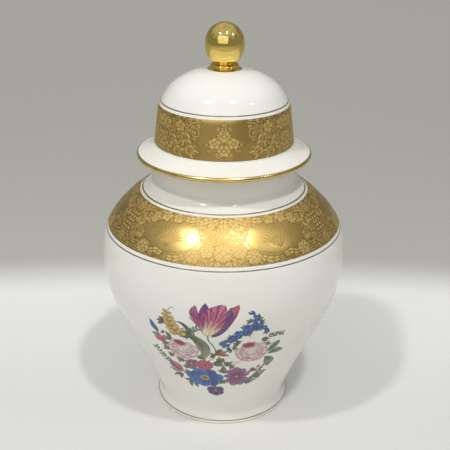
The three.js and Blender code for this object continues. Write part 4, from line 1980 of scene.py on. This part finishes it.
@dataclass
class Finial:
    """The gilt ball and collar, and the stud, washers and nut that hold them.

    Attributes:
        bore: Radius of the hole for the stud.
        ball_rise: Height of the ball over its widest ring.
        ball_flat: Radius of the flat that the ball stands on.
        ball_hole: Depth of the hole in the ball.
        collar_edge: Height of the upright edge at the collar's foot.
        collar_skirt: Height of the sloped skirt with that edge.
        groove: Radius at the bottom of the groove over the skirt.
        bead_radius: Radius of the bead over the groove, whose own section has the radius bead.
        pitch: Rise of the stud's thread in one turn, which has thread_rows rows of points.
        thread: Depth of the thread.
        stud_end: How far in and how deep the stud's ends are chamfered.
        nut_face: Radius of the nut's round end faces, in shares of its flats'.
        nut_slope: Slope of its chamfer in degrees.
    """

    finishes: Finishes
    bore: float = 3.2
    ball_rise: float = 18.0
    ball_flat: float = 10.0
    ball_hole: float = 10.0
    collar_edge: float = 0.4
    collar_skirt: float = 1.9
    groove: float = 11.7
    bead_radius: float = 12.1
    bead: float = 1.1
    around: int = 128
    stud_around: int = 32
    pitch: float = 1.0
    thread: float = 0.5
    thread_rows: int = 8
    stud_end: Point = (0.6, 0.3)
    washer_around: int = 72
    nut_around: int = 96
    nut_face: float = 0.96
    nut_slope: float = 30.0

    def ball(self) -> Object:
        """The polished ball, taller than it is wide and flat where it meets the collar."""
        room = NodeRoom.of("finial_ball")
        widest = room.high - self.ball_rise
        flat = math.degrees(math.acos(self.ball_flat / room.radius))
        drop = (widest - room.low) / math.sin(math.radians(flat))
        lower = arc((0.0, 0.0), 1.0, -flat, 0, 2.5) * (room.radius, drop)
        upper = arc((0.0, 0.0), 1.0, 0, 90, 2.5)[1:] * (room.radius, self.ball_rise)
        side = np.vstack([lower, upper]) + (0.0, widest)
        side[-1, 0] = 0.0
        hole = room.low + self.ball_hole
        seat = [(0.0, hole), (self.bore, hole), (self.bore, room.low)]
        piece = turned("ball", np.vstack([seat, side]), self.around)
        return fitted(piece, self.finishes.brass, Body.LID, "finial_ball")

    def collar(self) -> Object:
        """The turned collar: a sloped skirt, a groove, a bead and the flat under the ball."""
        room = NodeRoom.of("finial_collar")
        foot, groove_height = room.low, room.low + self.collar_skirt
        parts = [
            [(self.bore, foot), (room.radius - 0.15, foot), (room.radius, foot + 0.15)],
            smooth([(room.radius, foot + self.collar_edge), (self.groove + 1.2, groove_height - 0.5),
                    (self.groove, groove_height)], 0.4),
            arc((self.bead_radius - self.bead, groove_height + self.bead), self.bead, -56, 74, 8),
            [(self.ball_flat + 0.3, room.high - 0.2), (self.ball_flat, room.high), (self.bore, room.high)],
        ]
        piece = turned("collar", divided(np.vstack(parts), 1.2), self.around)
        return fitted(piece, self.finishes.brass, Body.LID, "finial_collar")

    def stud(self) -> Object:
        """The stud, its thread cut as a screw line round the rod."""
        room = NodeRoom.of("finial_stud")
        around, (inset, end) = self.stud_around, self.stud_end
        steps = round((room.high - room.low) / self.pitch * self.thread_rows)
        height = np.linspace(room.low + end, room.high - end, steps)[:, None]
        wind = (height / self.pitch - np.arange(around) / around) % 1.0
        radius = room.radius - self.thread * np.abs(2 * wind - 1)
        rows = carried(radius, height, full_turn(around))
        ends = [(room.radius - inset, room.low), (room.radius - inset, room.high)]
        caps = ring_points(np.array(ends), around)
        points = np.concatenate([caps[:1], rows, caps[1:]]).reshape(-1, 3)
        faces = grid_faces(len(rows) + 2, around, wrap=True).tolist()
        last = len(points) - around
        faces += [list(range(around))[::-1], list(range(last, last + around))]
        piece = make_piece("stud", points, faces)
        return fitted(piece, self.finishes.steel, Body.LID, "finial_stud")

    def washer(self, name: str, node: str, edge: float, finish: Finish) -> Object:
        """A washer with rounded edges.

        Args:
            name: Name of the piece.
            node: The node that it stands for.
            edge: Radius of its rounded edges.
            finish: Its finish.

        Returns:
            The piece.
        """
        room = NodeRoom.of(node)
        outline = np.vstack([
            [(self.bore, room.low)],
            arc((room.radius - edge, room.low + edge), edge, -90, 0, 15),
            arc((room.radius - edge, room.high - edge), edge, 0, 90, 15),
            [(self.bore, room.high)],
        ])
        piece = turned(name, divided(outline, 1.0), self.washer_around)
        return fitted(piece, finish, Body.LID, node)

    def nut(self) -> Object:
        """The hexagon nut, its corners chamfered top and bottom."""
        room, angle = NodeRoom.of("finial_nut"), full_turn(self.nut_around)
        sixth = math.pi / 3
        flat = room.radius * math.cos(sixth / 2)
        within = (angle + sixth / 2 + math.pi / 2) % sixth - sixth / 2
        hexagon, face = flat / np.cos(within), flat * self.nut_face
        drop = (hexagon - face) * math.tan(math.radians(self.nut_slope))
        steady = np.ones(self.nut_around)
        bore, face, bottom, top = (value * steady for value in (self.bore, face, room.low, room.high))
        radius = np.array([bore, face, hexagon, hexagon, face, bore])
        height = np.array([bottom, bottom, bottom + drop, top - drop, top, top])
        points = carried(radius, height, angle).reshape(-1, 3)
        piece = make_piece("nut", points, closed_faces(len(radius), self.nut_around))
        return fitted(piece, self.finishes.steel, Body.LID, "finial_nut")

    def build(self) -> list[Object]:
        """Makes every piece of the finial."""
        return [
            self.collar(),
            self.ball(),
            self.stud(),
            self.washer("cork_washer", "cushion_washer", 0.3, self.finishes.cork),
            self.washer("washer", "steel_washer", 0.2, self.finishes.steel),
            self.nut(),
        ]


@dataclass
class Studio:
    """The plain table, the lamps, the even room light and the camera.

    Attributes:
        eye: Place of the camera, in millimetres.
        tilt: Angle of the camera from straight down, in degrees.
        roll: Turn of the camera about its own axis, in degrees.
        lens: Focal length on a sensor of the width that sensor gives.
        spots: Places of the small ceiling lamps, in metres as all that follows.
        aim: Height that the lamps face.
        ceiling: Light of the ceiling.
        ceiling_rise: Heights over which the room turns into the ceiling.
        shade: Light of the room lower down, patch times lighter in its patches.
        wall: Light of its even wall near the horizon.
        wall_top: Heights over which the wall ends.
        reach: Half the width of the floor.
        gap: How far the floor lies under the foot.
        pale: Colour of the table near the viewer, which turns bright over table_light, painted light at its
            back.
        grey: Colour of the floor past it, which turns far over floor_light, painted light growing with
            distance.
        table: Half the table's width and depth.
        table_centre: How far its centre lies behind the urn.
        table_edge: Where the table ends, in shares of its half sizes.
    """

    eye: Place = (1.26, -718.2, 480.54)
    tilt: float = 66.768
    roll: float = 0.416
    lens: float = 68.8
    sensor: float = 36.0
    spots: tuple[Place, ...] = ((-0.95, -0.95, 2.3), (0.5, -1.0, 2.45), (1.75, -0.72, 2.1))
    spot_size: float = 0.18
    spot_watts: tuple[float, ...] = (16.2, 17.0, 2.5)
    soft_place: Place = (-0.28, -1.42, 1.05)
    soft_size: Point = (1.8, 1.15)
    soft_watts: float = 4.6
    aim: float = 0.15
    ceiling: Colour = (0.55, 0.545, 0.53)
    ceiling_rise: Point = (0.42, 0.8)
    shade: Colour = (0.16, 0.159, 0.153)
    patch: float = 2.2
    wall: Colour = (0.24, 0.239, 0.23)
    wall_top: Point = (0.3, 0.45)
    reach: float = 8.0
    gap: float = 0.00002
    # bright and far are painted light: the table's back edge and the distant floor are coloured lighter.
    pale: Colour = srgb(229, 229, 225)
    bright: Colour = srgb(250, 250, 247)
    grey: Colour = srgb(193, 192, 184)
    far: Colour = srgb(226, 225, 216)
    table: Point = (0.95, 0.42)
    table_centre: float = -0.17
    table_edge: Point = (0.88, 1.14)
    table_light: Point = (-0.1, 0.2)
    floor_light: Point = (0.4, 2.6)

    def camera(self) -> None:
        """Stands the camera where the photograph was taken from."""
        data = bpy.data.cameras.new("camera")
        data.lens = self.lens
        data.sensor_width = self.sensor
        camera = bpy.data.objects.new("camera", data)
        bpy.context.collection.objects.link(camera)
        tilt = Matrix.Rotation(math.radians(self.tilt), 4, "X")
        roll = Matrix.Rotation(math.radians(self.roll), 4, "Z")
        camera.matrix_world = Matrix.Translation(Vector(self.eye) * MM) @ tilt @ roll
        bpy.context.scene.camera = camera

    def floor(self) -> None:
        """Lays a plain floor, pale like a table round the urn and grey past it, both with painted light at
        the back.
        """
        mesh = bpy.data.meshes.new("floor")
        square = ((-1, -1), (1, -1), (1, 1), (-1, 1))
        corners = [(x * self.reach, y * self.reach, -self.gap) for x, y in square]
        mesh.from_pydata(corners, [], [(0, 1, 2, 3)])
        floor = bpy.data.objects.new("floor", mesh)
        bpy.context.collection.objects.link(floor)
        shader = Shader.material("floor")
        shift = {0: shader.place(), 1: (0.0, -self.table_centre, 0.0)}
        centred = shader.node("VectorMath", {"operation": "ADD"}, shift)
        squeeze = {0: centred, 1: (1 / self.table[0], 1 / self.table[1], 0.0)}
        place = shader.node("VectorMath", {"operation": "MULTIPLY"}, squeeze)
        away = shader.node("VectorMath", {"operation": "LENGTH"}, {0: place}, output="Value")
        depth = shader.node("SeparateXYZ", inputs={0: shader.place()}, output="Y")
        # Painted light: the table brightens towards its back edge and the floor past it with distance.
        table = shader.mix(depth.eased(*self.table_light), self.pale, self.bright)
        past = shader.mix(depth.eased(*self.floor_light), self.grey, self.far)
        colour = shader.mix(away.eased(*self.table_edge), table, past)
        mesh.materials.append(shader.finish(Base_Color=colour, Roughness=0.5))

    def lamp(self, name: str, kind: str, place: Vector, size: Point, watts: float) -> None:
        """Hangs an area lamp that faces the urn.

        Args:
            name: Its name.
            kind: Its shape.
            place: Where it hangs, in metres.
            size: Its width and height.
            watts: Its power.
        """
        data = bpy.data.lights.new(name, "AREA")
        data.shape = kind
        data.size, data.size_y = size
        data.energy = watts
        lamp = bpy.data.objects.new(name, data)
        lamp.location = place
        lamp.rotation_euler = (Vector((0, 0, self.aim)) - place).to_track_quat("-Z", "Y").to_euler()
        bpy.context.collection.objects.link(lamp)

    def light(self) -> None:
        """Hangs the ceiling lamps and a soft box."""
        for number, (place, watts) in enumerate(zip(self.spots, self.spot_watts)):
            self.lamp(f"spot_{number}", "DISK", Vector(place), (self.spot_size, self.spot_size), watts)
        self.lamp("soft_box", "RECTANGLE", Vector(self.soft_place), self.soft_size, self.soft_watts)

    def room(self) -> None:
        """Fills the room with light: a pale ceiling over a darker room, both a little uneven."""
        world = bpy.data.worlds.new("room")
        bpy.context.scene.world = world
        shader = Shader(world, "Background", "Generated")
        height = shader.node("SeparateXYZ", inputs={0: shader.place()}, output="Z")
        patches = shader.noise(2.4, detail=1.0).eased(0.42, 0.6)
        rising = height.eased(*self.ceiling_rise) * (0.8 + patches * 0.2)
        uneven = shader.mix(patches, self.shade, tuple(share * self.patch for share in self.shade))
        low = shader.mix(height.eased(*self.wall_top), self.wall, uneven)
        shader.finish(Color=shader.mix(rising, low, self.ceiling), Strength=1.0)

    def build(self) -> None:
        """Sets up the whole studio."""
        self.camera()
        self.floor()
        self.light()
        self.room()
        bpy.context.scene.view_settings.view_transform = "Standard"


def main() -> None:
    """Builds the urn and the studio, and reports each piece."""
    logging.basicConfig(level=logging.INFO, format="%(message)s")
    finishes = Finishes()
    for assembly in (Jar(finishes), Lid(finishes), Finial(finishes)):
        for piece in assembly.build():
            LOG.info("%s %s: %d faces", type(assembly).__name__, piece.name, len(piece.data.polygons))
    Studio().build()


if __name__ == "__main__":
    main()
